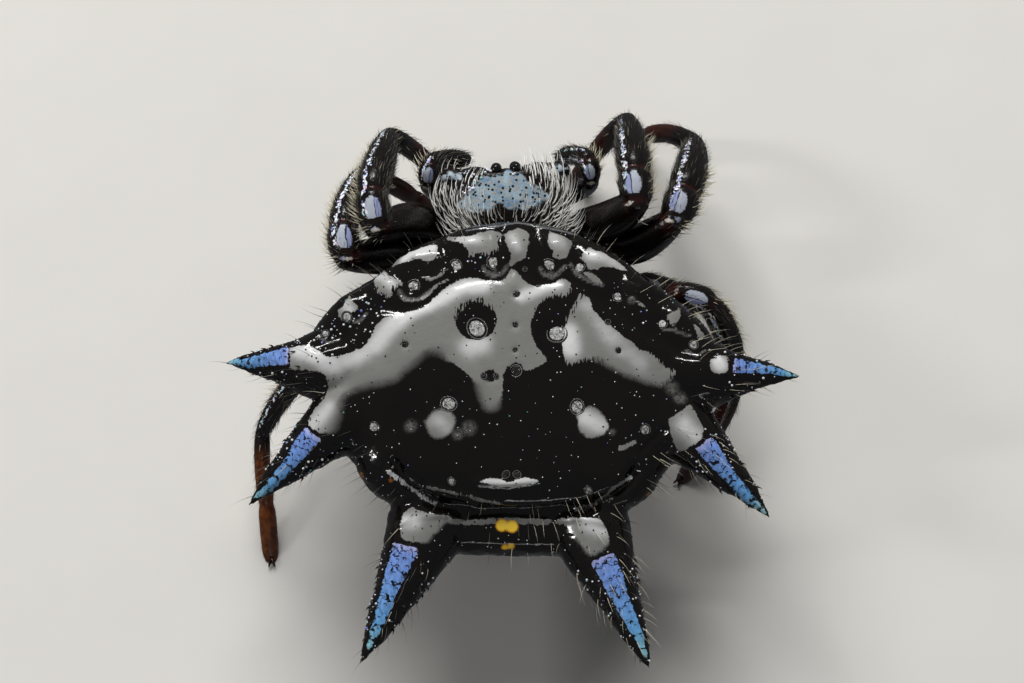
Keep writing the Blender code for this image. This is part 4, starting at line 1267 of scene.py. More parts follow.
def unturned(points):
    """Points as they lie in a head that isn't turned."""
    back_to = PROSOMA_MATRIX.inverted()
    return np.array([(back_to @ Vector(p))[:] for p in points])


TOP_OF = table_smooth(CARAPACE_TOP_PROFILE)
WIDTH_OF = table_smooth(CARAPACE_WIDTH_PROFILE)


def carapace_shape(x, y, z):
    """Moves a point of a unit sphere to the carapace, then turns it as the head is held."""
    along = signed_power(y, 0.8)
    around = math.hypot(x, z)
    power = CARAPACE_FRONT_POWER if along > 0 else CARAPACE_REAR_POWER
    closing = max(0.0, 1 - abs(along) ** power) ** (1 / power)
    side, up = (x / around, z / around) if around > 1e-6 else (0.0, 0.0)
    top = TOP_OF(along)
    middle = CARAPACE_BOTTOM + (top - CARAPACE_BOTTOM) * CARAPACE_MIDDLE_SHARE
    rise = (top - middle) * up**0.9 if up > 0 else (CARAPACE_BOTTOM - middle) * abs(up) ** 0.5
    px = CARAPACE_HALF_WIDTH * WIDTH_OF(along) * closing * signed_power(side, 0.75)
    py = CARAPACE_CENTRE_Y + along * CARAPACE_LENGTH / 2
    return PROSOMA_MATRIX @ Vector((px, py, middle + rise * closing))


def carapace_skin():
    """The shield, seated a little lower round each eye, with the marks of its blue patch."""
    lobes = []
    for u, v, level, half in HEAD_LOBES:
        centre = at_height(u, v, level)
        lobes.append(ball(24, 16, lambda x, y, z: centre + Vector((x * half[0], y * half[1], z * half[2]))))
    obj = fused("carapace_skin", [ball(96, 64, carapace_shape), *lobes], HEAD_VOXEL)
    relax(obj.data, RELAXING_ROUNDS)
    points = points_of(obj.data)
    local = unturned(points)
    middle = np.exp(-((local[:, 0] / FRONT_SETBACK_HALF_WIDTH) ** 4))
    points[:, 1] -= FRONT_SETBACK * middle * smoothstep(FRONT_SETBACK_FROM, HEAD_FRONT, local[:, 1])
    move_points(obj.data, points)
    normals = normals_of(obj)
    moved = np.zeros(len(points))
    for node in EYE_NAMES:
        centre, half = node_box(node)
        away = np.linalg.norm(points - np.array(centre), axis=1)
        moved -= EYE_SEAT * np.exp(-((away / (half.x * 1.3)) ** 4))
    move_points(obj.data, points + normals * moved[:, None])
    surface = Surface(obj)
    blue = np.full(len(points), -1.0)
    plates = blue.copy()
    for k, places in enumerate(BLUE_HEAD_AREAS):
        inside = area_distance(points, surface.seen_line(places))
        blue = np.maximum(blue, inside)
        plates = np.maximum(plates, inside if k else -1.0)
    store(obj, "patch", np.where(normals[:, 2] > 0.1, blue, -1.0))
    store(obj, "bright", plates)
    row = [(u, v, HEAD_GLINT_REACH) for u, v in HEAD_GLINTS]
    store(obj, "bead_row", surface.in_spots(points, row, GLINT_CORE))
    return obj


def carapace_material():
    """Dark cuticle with a frosted blue-grey patch, dotted with hair sockets."""
    material, tree, shader = new_material("frosted_cuticle", IOR=1.5)
    place = millimetres(tree)
    edge = edge_of(tree, "patch", waver(tree, place, 0.12, 0.22, 3.0), -0.04, 0.04)
    tone = put(tree, "noise", place, 1 / 0.35, 3.0)
    frost = put(tree, "blend", put(tree, "step", tone, 0.35, 0.65), "#6C8BA6", "#9EB6C4")
    grey = put(tree, "noise", place, 1 / 0.08, 3.0)
    frost = put(tree, "blend", put(tree, "step", grey, 0.46, 0.58, 0.0, 0.85), frost, "#A3A199")
    plate = put(tree, "step", put(tree, "mark", attribute_name="bright"), -0.04, 0.0)
    frost = put(tree, "blend", plate, frost, "#BCC9D3")
    dots = put(tree, "step", put(tree, "cells", place, 1 / 0.115), 0.27, 0.36)
    frost = put(tree, "blend", dots, "#0D0E12", frost)
    colour = put(tree, "blend", edge, put(tree, "blend", tone, "#080706", "#1A1310"), frost)
    paint(tree, shader, colour)
    tree.links.new(put(tree, "step", edge, 0.0, 1.0, 0.25, 0.7), shader.inputs["Roughness"])
    bumped(tree, shader, put(tree, "noise", place, 1 / 0.06, 3.0), 0.015)
    return material


carapace = carapace_skin()
carapace.data.materials.append(carapace_material())
unwrap(carapace)
print("carapace skin:", len(carapace.data.polygons), "faces")

# %% Fur of the head
CREAM_INNER = 0.6
CREAM_FULL = 0.95
FRINGE_Y = 5.05
FRINGE_DEPTH = 0.22


def furred_head(obj):
    """Cream fur in two side brushes, a thinner fringe behind, a few hairs on the blue patch."""
    local = unturned(points_of(obj.data))
    x, y = local[:, 0], local[:, 1]
    normals = normals_of(obj)
    above = smoothstep(0.0, 0.35, normals[:, 2])
    start = np.where(x > 0, 5.6, 6.0)
    front = smoothstep(start, start + 0.3, y)
    inner = np.where(x > 0, 0.38, 0.22) * front
    sides = smoothstep(CREAM_INNER - inner, CREAM_FULL - inner - 0.08 * front, np.abs(x))
    fringe = np.exp(-(((y - FRINGE_Y) / FRINGE_DEPTH) ** 2))
    behind = smoothstep(4.55, 4.75, y) * (1 - 0.5 * smoothstep(6.0, 6.4, y))
    hair = above * np.clip(sides + fringe * 0.9 + 0.05, 0, 1) * behind
    hair = hair * (1 - 0.6 * smoothstep(-0.02, 0.05, kept(obj, "patch")))
    hair = hair * (1 - 0.8 * smoothstep(0.95, 1.2, np.abs(x)) * smoothstep(6.0, 6.25, y))
    hair = hair * (1 - 0.9 * smoothstep(0.0, 0.5, kept(obj, "bead_row")))
    outward = np.clip(x / CARAPACE_HALF_WIDTH, -1, 1)
    rearness = smoothstep(6.2, 4.8, y)
    lie = np.stack([outward * (0.25 + 0.95 * rearness), 0.85 - 0.75 * rearness, np.full_like(x, 0.42)], 1)
    curl = np.stack([-outward * 0.35, np.full_like(x, 0.9), np.full_like(x, 0.05)], 1)
    reach = 0.72 + 0.3 * sides + 0.3 * front * (x > 0)
    strewn(obj, BRISTLES, "head_fur", "carapace", CREAM_BRISTLE,
           (0.078, 98.0, 0.54, 0.044, 0.85, 0.26, 8, 11),
           hair, lie, curl, reach * (1 - 0.42 * smoothstep(6.0, 6.4, y)))


furred_head(carapace)

# %% [markdown]
# ## Eyes
#
# Eight simple eyes: four close together in front, and a pair at each corner of the head. Each is
# a hard clear lens over dark tissue, which a very smooth, near-black surface gives at this size.

# %% Eye lenses


def eye_lenses():
    """All eight lenses, each sized and placed by its own frame node."""
    bm = bmesh.new()
    for node in EYE_NAMES:
        centre, half = node_box(node)
        place = Matrix.Translation(centre) @ Matrix.Diagonal((*half, 1.0))
        bmesh.ops.create_uvsphere(bm, u_segments=32, v_segments=20, radius=1.0, matrix=place)
    bmesh.ops.recalc_face_normals(bm, faces=bm.faces)
    obj = object_from(bm, "eye_lenses")
    glass = {"Roughness": 0.03, "IOR": 1.5, "Coat_Weight": 1.0, "Coat_Roughness": 0.01}
    obj.data.materials.append(two_tone("eye_lens", "#050506", "#0E0B0B", 0.2, **glass))
    return settle(obj, "eyes", *EYE_NAMES)


eye_lenses()

# %% [markdown]
# ## Legs
#
# Each leg is a chain of hard tubes, thick at the femur and thin at the foot, that narrow where
# they meet. Modelling every tube as a rounded capsule and wrapping the chain in one voxel skin
# gives those narrow joints by itself. The skin then keeps, on each point, how far along the leg
# it lies, so the material can set the pale kneecap, the red-brown membranes and the brown foot.

# %% Where the legs run
KNEE = 3
TIBIA_END = 6
LEGS = {
    "leg1_left": [
        (-1.0, 5.28, 2.3, 0.24), (-1.62, 5.36, 2.26, 0.38), (-2.6, 5.14, 3.36, 0.5),
        (-3.5, 4.52, 4.46, 0.4), (-3.64, 5.42, 4.42, 0.46), (-3.48, 6.56, 3.82, 0.41),
        (-3.27, 7.62, 2.92, 0.3), (-2.78, 7.68, 2.02, 0.26), (-2.3, 7.6, 1.15, 0.25),
        (-1.74, 7.44, -0.12, 0.22),
    ],
    "leg2_left": [
        (-1.28, 4.74, 2.28, 0.24), (-1.9, 4.76, 2.22, 0.38), (-3.16, 4.36, 2.98, 0.5),
        (-4.26, 3.84, 4.1, 0.39), (-4.36, 4.66, 4.06, 0.42), (-4.18, 5.74, 3.42, 0.37),
        (-3.92, 6.76, 2.54, 0.27), (-3.3, 6.82, 1.72, 0.25), (-2.66, 6.72, 0.98, 0.25),
        (-1.96, 6.54, -0.12, 0.22),
    ],
    "leg3_left": [
        (-1.28, 4.15, 2.26, 0.24), (-1.88, 3.98, 2.2, 0.29), (-2.58, 3.68, 2.3, 0.36),
        (-3.24, 3.46, 2.5, 0.31), (-3.62, 3.42, 2.22, 0.31), (-3.92, 3.4, 1.74, 0.3),
        (-4.12, 3.38, 1.24, 0.26), (-4.2, 3.38, 0.92, 0.25), (-4.25, 3.38, 0.55, 0.25),
        (-4.3, 3.38, -0.12, 0.22),
    ],
    "leg4_left": [
        (-0.96, 3.58, 2.2, 0.24), (-1.46, 3.1, 2.1, 0.3), (-2.9, 2.34, 2.52, 0.4),
        (-4.46, 1.66, 3.2, 0.34), (-5.16, 1.2, 3.06, 0.31), (-5.84, 0.6, 2.44, 0.26),
        (-6.3, 0.02, 1.66, 0.22), (-6.28, -0.78, 1.18, 0.21), (-6.16, -1.62, 0.72, 0.23),
        (-6.02, -2.8, -0.12, 0.22),
    ],
    "leg1_right": [
        (1.0, 5.28, 2.3, 0.24), (1.62, 5.36, 2.28, 0.38), (2.34, 5.26, 3.46, 0.5),
        (3.06, 5.34, 4.54, 0.4), (2.98, 6.12, 4.48, 0.46), (2.9, 7.18, 3.84, 0.41),
        (2.8, 8.2, 2.92, 0.28), (2.36, 8.12, 2.0, 0.26), (1.92, 7.84, 1.15, 0.25),
        (1.44, 7.56, -0.12, 0.22),
    ],
    "leg2_right": [
        (1.28, 4.74, 2.28, 0.24), (1.9, 4.82, 2.18, 0.38), (3.02, 4.84, 2.86, 0.5),
        (4.0, 5.06, 4.02, 0.4), (4.24, 5.82, 3.98, 0.47), (4.44, 6.8, 3.4, 0.42),
        (4.54, 7.72, 2.58, 0.3), (3.92, 8.28, 1.84, 0.25), (3.32, 8.52, 1.06, 0.25),
        (2.66, 8.6, -0.12, 0.22),
    ],
    "leg3_right": [
        (1.28, 4.15, 2.26, 0.24), (1.88, 4.02, 2.16, 0.29), (2.54, 3.98, 2.14, 0.36),
        (3.18, 4.04, 2.2, 0.31), (3.6, 4.08, 1.96, 0.31), (3.96, 4.1, 1.54, 0.3),
        (4.2, 4.1, 1.12, 0.26), (4.3, 4.1, 0.84, 0.25), (4.36, 4.1, 0.5, 0.25), (4.42, 4.1, -0.12, 0.22),
    ],
    "leg4_right": [
        (0.96, 3.58, 2.2, 0.24), (1.48, 3.12, 2.1, 0.3), (2.9, 3.0, 2.74, 0.4),
        (4.18, 3.34, 3.48, 0.35), (4.94, 3.08, 3.38, 0.35), (5.46, 2.32, 2.86, 0.33),
        (5.66, 1.54, 2.16, 0.27), (5.44, 0.92, 1.54, 0.25), (5.04, 0.32, 0.92, 0.25),
        (4.4, -0.42, -0.12, 0.22),
    ],
}
PALPS = {
    "palp_left": [
        (-0.68, 5.84, 2.12, 0.22), (-1.12, 6.1, 2.06, 0.24), (-2.04, 6.26, 2.62, 0.25),
        (-2.27, 6.17, 3.36, 0.24), (-2.19, 6.57, 3.56, 0.28), (-1.92, 6.9, 3.22, 0.26),
        (-1.56, 7.12, 2.72, 0.24), (-1.3, 7.26, 2.34, 0.2),
    ],
    "palp_right": [
        (0.72, 5.86, 2.12, 0.22), (1.2, 6.1, 2.06, 0.24), (1.7, 6.42, 2.66, 0.25),
        (1.92, 6.36, 3.42, 0.23), (1.82, 6.74, 3.62, 0.27), (1.56, 7.08, 3.26, 0.26),
        (1.3, 7.28, 2.74, 0.24), (1.1, 7.36, 2.34, 0.2),
    ],
}
PER_SPAN = 10
LIMB_VOXEL = 0.045
KNEE_BEAD_DROP = 0.1
# Kneecaps: how far along the limb the pale patch lies, its turn about the axis, and the place of
# the small bead behind it in the picture
KNEECAPS = {
    "leg1_left": (3.42, 0.0, (374, 229)), "leg1_right": (3.48, 0.14, (630, 202)),
    "leg2_left": (3.5, -0.1, (347, 258)), "leg2_right": (3.46, 0.16, (670, 219)),
    "palp_left": (3.5, 0.0, (426, 186)), "palp_right": (3.5, 0.1, (592, 181)),
}

# %% Limb skins


def limb_axis(rows, cuts):
    """Axis samples of a limb with its radius, and how many rows along each sample lies."""
    rows = turned(rows[:2]) + rows[2:]
    ends = [0, *cuts, len(rows) - 1]
    samples, stations = [], []
    for a, b in zip(ends, ends[1:]):
        samples.append(smooth_points(rows[a : b + 1], PER_SPAN))
        stations.append(np.linspace(a, b, len(samples[-1])))
    return np.vstack(samples), np.concatenate(stations)


def capsule(samples):
    """A tube with round ends, a little narrower near them, as a leg's joints are."""
    share = np.linspace(0, 1, len(samples))
    waist = 1 - 0.22 * (np.exp(-share / 0.09) + np.exp(-(1 - share) / 0.09))
    rings = samples.copy()
    rings[:, 3] *= waist
    caps = []
    for end, inner in ((rings[0], rings[1]), (rings[-1], rings[-2])):
        outward = (end - inner)[:3] / np.linalg.norm((end - inner)[:3])
        steps = np.radians((20, 40, 58, 74, 86))
        caps.append([[*(end[:3] + outward * end[3] * math.sin(a)), end[3] * math.cos(a)] for a in steps])
    return tube(np.vstack([caps[0][::-1], rings, caps[1]]), 24)


def limb_skin(name, rows, cuts, joints):
    """One skin round a limb's chain of capsules, with each point's place along it, its turn about the axis
    and the way along, which sets the lie of its bristles.
    """
    samples, stations = limb_axis(rows, cuts)
    pieces = []
    for a, b in zip(joints, joints[1:]):
        inside = (stations >= a - 1e-6) & (stations <= b + 1e-6)
        chosen = np.flatnonzero(inside)
        run = [i for i in chosen if not (stations[i] == a and i + 1 < len(stations) and stations[i + 1] == a)]
        run = [i for i in run if not (stations[i] == b and stations[i - 1] == b)]
        pieces.append(capsule(samples[run]))
    obj = fused(f"{name}_skin", pieces, LIMB_VOXEL)
    relax(obj.data, 3)
    points = points_of(obj.data)
    points[:, 2] = np.maximum(points[:, 2], 0.0)
    move_points(obj.data, points)
    index = KDTree(len(samples))
    for i, sample in enumerate(samples):
        index.insert(sample[:3], i)
    index.balance()
    nearest = np.array([index.find(p)[1] for p in points])
    along = unit(np.gradient(samples[:, :3], axis=0))[nearest]
    part = stations[nearest] + np.einsum("ij,ij->i", points - samples[nearest, :3], along) * 0.8
    view = unit(np.array(TO_CAMERA) - along * (along @ np.array(TO_CAMERA))[:, None])
    radial = points - samples[nearest, :3]
    radial = unit(radial - along * np.einsum("ij,ij->i", radial, along)[:, None])
    facing = np.arccos(np.clip(np.einsum("ij,ij->i", radial, view), -1, 1))
    facing *= np.where(radial[:, 0] < 0, 1, -1)
    return obj, part, along, facing


# The kneecap's start and middle, in rows past the knee, and its half sizes, in rows and radians
KNEECAP_START, KNEECAP_MIDDLE = 0.18, 0.52
KNEECAP_HALF = (0.36, 0.52)
BEAD_HALF = (0.05, 0.13)
# How far inside their borders the middles of a kneecap and a bead count
KNEECAP_INSIDE, BEAD_INSIDE = 0.22, 0.06
# The painted highlight strip down each shin: its turn towards the picture's left, where the side lamp is, and
# its spread
SPARKLE_TURN, SPARKLE_SPREAD = 0.6, 0.17


def limb_marks(obj, name, rows, part, facing, knee, browning):
    """Kneecap patch, membranes at the joints, a painted highlight strip down the shin and the browning
    towards the foot.
    """
    joint, beyond = Vector(rows[knee][:3]), Vector(rows[knee + 1][:3])
    way = (beyond - joint).normalized()
    up = (TO_CAMERA - way * TO_CAMERA.dot(way)).normalized()
    cap, turn, seen = KNEECAPS.get(name, (knee + KNEECAP_MIDDLE, 0.0, None))
    bead_place = Surface(obj).seen(*seen) if seen else joint + up * rows[knee][3] - way * KNEE_BEAD_DROP
    inner = (facing - turn) * math.copysign(1, rows[knee][0])
    spot = 1 - np.hypot((part - cap) / KNEECAP_HALF[0], (facing - turn) / KNEECAP_HALF[1])
    spot[part < knee + KNEECAP_START] = -1.0
    store(obj, "patch", spot * KNEECAP_INSIDE)
    store(obj, "inner", inner)
    away = points_of(obj.data) - np.array(bead_place)
    along = away @ np.array(way)
    across = np.sqrt(np.maximum((away**2).sum(axis=1) - along**2, 0.0))
    spot = 1 - np.hypot(along / BEAD_HALF[0], across / BEAD_HALF[1])
    store(obj, "bead", spot * BEAD_INSIDE)
    membrane = np.zeros(len(part))
    for joint, reach in ((knee, 0.16), (knee + 1, 0.06)):
        membrane = np.maximum(membrane, np.exp(-(((part - joint) / reach) ** 2)))
    store(obj, "membrane", membrane)
    store(obj, "part", smoothstep(browning, browning + 1.2, part))
    shin = smoothstep(knee + 0.2, knee + 0.6, part) * (1 - smoothstep(knee + 2.6, knee + 3.2, part))
    store(obj, "sparkle", shin * np.exp(-(((facing - SPARKLE_TURN) / SPARKLE_SPREAD) ** 2)))


def limb_material(name, foot, foot_end, cuffs):
    """Glossy dark cuticle with painted highlight flecks, white and tinted, down the shin, pale kneecap and
    brown foot.
    """
    material, tree, shader = new_material(name, IOR=1.56, Coat_Weight=0.3, Coat_Roughness=0.08)
    place = millimetres(tree)
    tone = put(tree, "noise", place, 1 / 0.5, 3.0)
    dark = put(tree, "blend", tone, "#090706", "#1B1310")
    part = put(tree, "mark", attribute_name="part")
    patches = put(tree, "step", put(tree, "noise", place, 1 / 0.18, 3.0), 0.3, 0.7)
    browned = put(tree, "blend", patches, foot, foot_end)
    colour = put(tree, "blend", put(tree, "step", part, 0.05, 0.9), dark, browned)
    cuff = put(tree, "step", put(tree, "mark", attribute_name="membrane"), 0.45, 0.95, 0.0, 0.8)
    colour = put(tree, "blend", cuff, colour, cuffs)
    # Painted highlight: white and tinted flecks in the strip down the shin
    values = add(tree, "ShaderNodeSeparateColor", {0: put(tree, "cell colours", place, 1 / 0.055)}).outputs
    breaks = put(tree, "step", put(tree, "noise", place, 1 / 0.25), 0.4, 0.54, 0.3, 1.0)
    lit = put(tree, "times", put(tree, "mark", attribute_name="sparkle"), breaks)
    shine = put(tree, "step", put(tree, "plus", values[0], lit), 1.05, 1.15)
    hue = hues(
        tree, values[1],
        (0.0, "#8A94E8"), (0.2, "#EEF1FF"), (0.65, "#FFFFFF"), (0.85, "#9FE2DE"), (1.0, "#E6B4DC"),
    )
    colour = put(tree, "blend", shine, colour, hue)
    saw = waver(tree, place, 0.06, 0.1)
    edge = edge_of(tree, "patch", saw, -0.01, 0.02)
    veins = streaks_of(tree, place, (18.0, 4.0, 6.0), 3.0)
    inner = put(tree, "plus", put(tree, "mark", attribute_name="inner"), put(tree, "times", veins, 0.3))
    lavender = put(tree, "blend", put(tree, "step", inner, 0.22, 0.32), "#AEB4C0", "#9099C0")
    streak = put(tree, "unsigned", put(tree, "minus", inner, 0.27))
    lavender = put(tree, "blend", put(tree, "step", streak, 0.02, 0.05), "#20202C", lavender)
    lavender = put(tree, "blend", put(tree, "step", veins, 0.32, 0.42, 0.5, 0.0), lavender, "#4A4F66")
    colour = put(tree, "blend", edge, colour, lavender)
    colour = put(tree, "blend", edge_of(tree, "bead", saw, -0.01, 0.02), colour, "#CFC8BE")
    paint(tree, shader, colour)
    tree.links.new(put(tree, "step", edge, 0.0, 1.0, 0.2, 0.38), shader.inputs["Roughness"])
    bumped(tree, shader, put(tree, "noise", place, 1 / 0.05, 2.0), 0.01)
    return material


BLACK_LIMB = limb_material("black_leg_cuticle", "#2A110A", "#40190D", "#300F0B")
BROWN_LIMB = limb_material("brown_leg_cuticle", "#4A230B", "#7A3F12", "#2A150C")

# %% Bristles of a limb


def limb_bristles(obj, part, along, facing, knee, tarsus, name):
    """A dense dark coat that leans to the foot, and pale bristles set among it."""
    points = points_of(obj.data)
    normals = normals_of(obj)
    beyond = smoothstep(knee - 0.3, knee + 0.2, part)
    off_patch = 1 - np.exp(-((part - knee - 0.5) / 0.4) ** 2 - (facing / 0.6) ** 2)
    foot = smoothstep(tarsus - 0.6, tarsus, part)
    dark = (0.15 + 0.5 * beyond + 0.35 * foot) * smoothstep(0.9, 1.4, part) * off_patch
    lean = along * 1.0 + normals * 0.55
    strewn(obj, BRISTLES, f"{name}_bristles", "legs", DARK_BRISTLE,
           (0.06, 120.0, 0.3, 0.022, 0.15, 0.25, 3, 21), dark, lean, along, 1 - 0.45 * foot)
    outer = smoothstep(0.1, 0.6, np.sign(points[:, 0]) * normals[:, 0])
    side = smoothstep(0.7, 1.3, np.abs(facing))
    tufts = side * outer * (1 - smoothstep(knee + 1.8, knee + 2.6, part))
    pale = beyond * (0.04 + 0.12 * side) + 0.9 * beyond * tufts
    pale = pale * (1 - smoothstep(tarsus - 1.5, tarsus - 0.5, part)) * off_patch
    strewn(obj, BRISTLES, f"{name}_pale_bristles", "legs", PALE_BRISTLE,
           (0.06, 110.0, 0.32, 0.034, 0.2, 0.3, 4, 22),
           pale, along * 0.6 + normals * 0.9, along, 0.7 + 0.6 * tufts)
    fine = beyond * (1 - smoothstep(tarsus - 2.5, tarsus - 1.5, part)) * off_patch
    fine = fine * (0.25 + 0.75 * smoothstep(0.2, 0.7, facing * np.sign(points[:, 0])))
    strewn(obj, BRISTLES, f"{name}_grey_bristles", "legs", GREY_BRISTLE,
           (0.05, 90.0, 0.34, 0.024, 0.1, 0.12, 3, 23), fine, along + normals * 0.22, along)


LEG_JOINTS = (0, 1, 3, 4, 6, 8, 9)
PALP_JOINTS = (0, 1, 3, 4, 5, 7)
TARSUS = 8
for leg, leg_rows in LEGS.items():
    skin, part, along, facing = limb_skin(leg, leg_rows, (KNEE, TIBIA_END), LEG_JOINTS)
    brown = leg == "leg4_left"
    limb_marks(skin, leg, leg_rows, part, facing, KNEE, 6.0 if brown else 6.2)
    skin.data.materials.append(BROWN_LIMB if brown else BLACK_LIMB)
    unwrap(skin)
    limb_bristles(skin, part, along, facing, KNEE, TARSUS, leg)
    settle(skin, "legs", *(f"{leg}_{length}" for length in ("femur", "tibia", "foot")))
for palp, palp_rows in PALPS.items():
    skin, part, along, facing = limb_skin(palp, palp_rows, (3,), PALP_JOINTS)
    limb_marks(skin, palp, palp_rows, part, facing, 3, 12)
    skin.data.materials.append(BLACK_LIMB)
    unwrap(skin)
    limb_bristles(skin, part, along, facing, 3, 12, palp)
    settle(skin, "legs", f"{palp}_femur", f"{palp}_tip")

# %% [markdown]
# ## Claws
#
# A spider's foot ends in small hooked claws that lie flat when it stands on a floor. Each is a
# bent, tapering tube. Its places are worked out from the last two rows of the leg's own table,
# so that the pair always grows from the sole and points the way the leg reaches.

# %% Claw pairs
CLAW_SPREAD = 0.28
CLAW_PATH = [(0.06, 0.12, 0.04), (0.17, 0.12, 0.034), (0.25, 0.09, 0.022), (0.28, 0.03, 0.006)]


def claws():
    """Two hooks on each foot, each from rows of reach, height and radius."""
    hooks = []
    for rows in LEGS.values():
        foot, before = Vector(rows[-1][:3]), Vector(rows[-2][:3])
        heading = math.atan2(-before.y + foot.y, -before.x + foot.x)
        for side in (-1, 1):
            way = heading + side * CLAW_SPREAD
            path = [
                (foot.x + reach * math.cos(way), foot.y + reach * math.sin(way), height, radius)
                for reach, height, radius in CLAW_PATH
            ]
            hooks.append(tube(smooth_points(path, 5), 10))
    obj = merged(hooks, "claws")
    horn = {"Roughness": 0.15, "IOR": 1.56}
    obj.data.materials.append(two_tone("polished_claw_chitin", "#120806", "#34160B", 0.1, **horn))
    return settle(obj, "feet")


claws()

# %% [markdown]
# ## Muscle marks
#
# The round buttons on the back are sigilla: scars where muscles pull on the shell from inside.
# Each is a wrinkled pale dish in a raised rim, with a thin second ring round it. They repeat, so
# one tree turns a sphere into that profile with a curve and sets it on every place given to it.

# %% Sigilla
SIGILLA = [
    (413, 287, 6.5), (456, 266, 6.0), (494, 263, 6.6), (549, 266, 6.6), (579, 268, 5.6), (618, 297, 5.0),
    (662, 324, 5.0), (347, 317, 4.6), (325, 334, 3.6), (477, 329, 9.6), (557, 334, 8.6), (449, 404, 6.6),
    (577, 407, 6.6), (374, 427, 4.6), (645, 430, 5.0), (452, 481, 3.6), (588, 490, 3.6), (694, 345, 4.0),
]
SMALL_PITS = [
    (405, 345, 3.2), (619, 351, 3.2), (517, 295, 3.4), (515, 325, 2.6), (515, 350, 2.2), (484, 376, 2.6),
    (496, 376, 2.6), (516, 371, 5.0), (506, 474, 3.4), (517, 474, 3.4), (525, 269, 2.2), (608, 322, 2.4),
]
RING_REACH = 1.5
SIGILLUM_LIFT = 0.012
SIGILLUM_PROFILE = [
    (0.0, 0.12), (0.25, 0.15), (0.45, 0.14), (0.58, 0.1), (0.63, 0.01), (0.68, 0.0), (0.74, 0.08),
    (0.79, 0.12), (0.85, 0.08), (0.92, 0.01), (1.0, -0.15),
]


def sigilla_tree():
    """Turns a sphere into a ringed, wrinkled button and sets one on every given point."""
    tree, given = begun_tree("sigilla", "Places", "Buttons", {"Height": 1.0, "Sides": 32, "Seed": 1})
    globe = put(tree, "GeometryNodeMeshUVSphere", {"Segments": given["Sides"], "Rings": 44})
    parts = add(tree, "ShaderNodeSeparateXYZ", {0: put(tree, "GeometryNodeInputPosition")}).outputs
    flat = put(tree, "ShaderNodeCombineXYZ", {"X": parts["X"], "Y": parts["Y"]})
    away = add(tree, "ShaderNodeVectorMath", {0: flat}, operation="LENGTH").outputs["Value"]
    curve = add(tree, "ShaderNodeFloatCurve", {"Value": away})
    line = curve.mapping.curves[0]
    curve.mapping.use_clip = False
    for k, (share, height) in enumerate(SIGILLUM_PROFILE):
        if k < 2:
            line.points[k].location = (share, height)
        else:
            line.points.new(share, height)
    curve.mapping.update()
    wavy = put(tree, "ShaderNodeTexNoise", {"Vector": flat, "Scale": 4.2, "Detail": 3.0, "Distortion": 1.2})
    creases = put(tree, "unsigned", put(tree, "minus", wavy, 0.5))
    creases = put(tree, "times", creases, put(tree, "step", away, 0.5, 0.6, -0.9, 0.0))
    level_top = put(tree, "times", put(tree, "plus", curve.outputs[0], creases), given["Height"])
    is_top = put(tree, "above", parts["Z"], -0.001)
    under = put(tree, "minus", put(tree, "times", parts["Z"], 0.6), 0.12)
    level = put(tree, "ShaderNodeMix", {0: is_top, 2: under, 3: level_top}, data_type="FLOAT")
    shaped = put(tree, "ShaderNodeCombineXYZ", {"X": parts["X"], "Y": parts["Y"], "Z": level})
    button = put(tree, "kept", globe, "out", away)
    button = put(tree, "GeometryNodeSetPosition", {"Geometry": button, "Position": shaped})
    button = put(tree, "smooth", button)
    points = put(tree, "GeometryNodeMeshToPoints", {"Mesh": given["Places"]})
    turn = put(tree, "upright", put(tree, "skin vector", "lie"))
    turn = put(tree, "swung", turn, put(tree, "random vector", (-1, -1, 0), (1, 1, 0), given["Seed"]))
    squeeze = put(tree, "random vector", (0.84, 1.0, 1.0), (1.0, 1.1, 1.0), given["Seed"])
    size = {0: squeeze, "Scale": put(tree, "skin value", "reach")}
    size = put(tree, "ShaderNodeVectorMath", size, operation="SCALE")
    return ended_tree(tree, stood(tree, points, button, turn, size), given["Finish"], "Buttons")


def sigillum_material(name, low, high, crack, ring):
    """Cuticle thinned over a muscle: a mottled disc in a black, very glossy rim, with a painted highlight on
    the crest of its outer ring.
    """
    shine = {"Roughness": 0.16, "IOR": 1.56, "Coat_Weight": 0.6, "Coat_Roughness": 0.03}
    material, tree, shader = new_material(name, **shine)
    place = millimetres(tree)
    mottle = put(tree, "noise", place, 1 / 0.06, 3.0, 0.7)
    middle = put(tree, "blend", put(tree, "step", mottle, 0.3, 0.62), low, high)
    folds = put(tree, "unsigned", waver(tree, place, 0.13, 1.0))
    folds = put(tree, "step", folds, 0.01, 0.045, 0.85, 0.0)
    middle = put(tree, "blend", folds, middle, crack)
    away = put(tree, "mark", attribute_name="out")
    rim = put(tree, "blend", put(tree, "step", away, 0.74, 0.78), "#080706", ring)
    rim = put(tree, "blend", put(tree, "step", away, 0.8, 0.85), rim, "#0C0A09")
    colour = put(tree, "blend", put(tree, "step", away, 0.56, 0.62), middle, rim)
    paint(tree, shader, colour)
    bumped(tree, shader, mottle, 0.018)
    return material


def places_object(name, spots, surface):
    """A cloud of points on the shell, each with the way it faces and its size."""
    bm = bmesh.new()
    facing = []
    for u, v, _ in spots:
        point, normal = surface.tree.ray_cast(at_height(u, v, RAY_HEIGHT), -TO_CAMERA)[:2]
        bm.verts.new(point + normal * SIGILLUM_LIFT)
        facing.append(normal)
    obj = object_from(bm, name)
    store(obj, "lie", facing, "FLOAT_VECTOR")
    store(obj, "reach", [size / PIXELS_PER_MM * RING_REACH for *_, size in spots])
    return obj


SIGILLA_TREE = sigilla_tree()
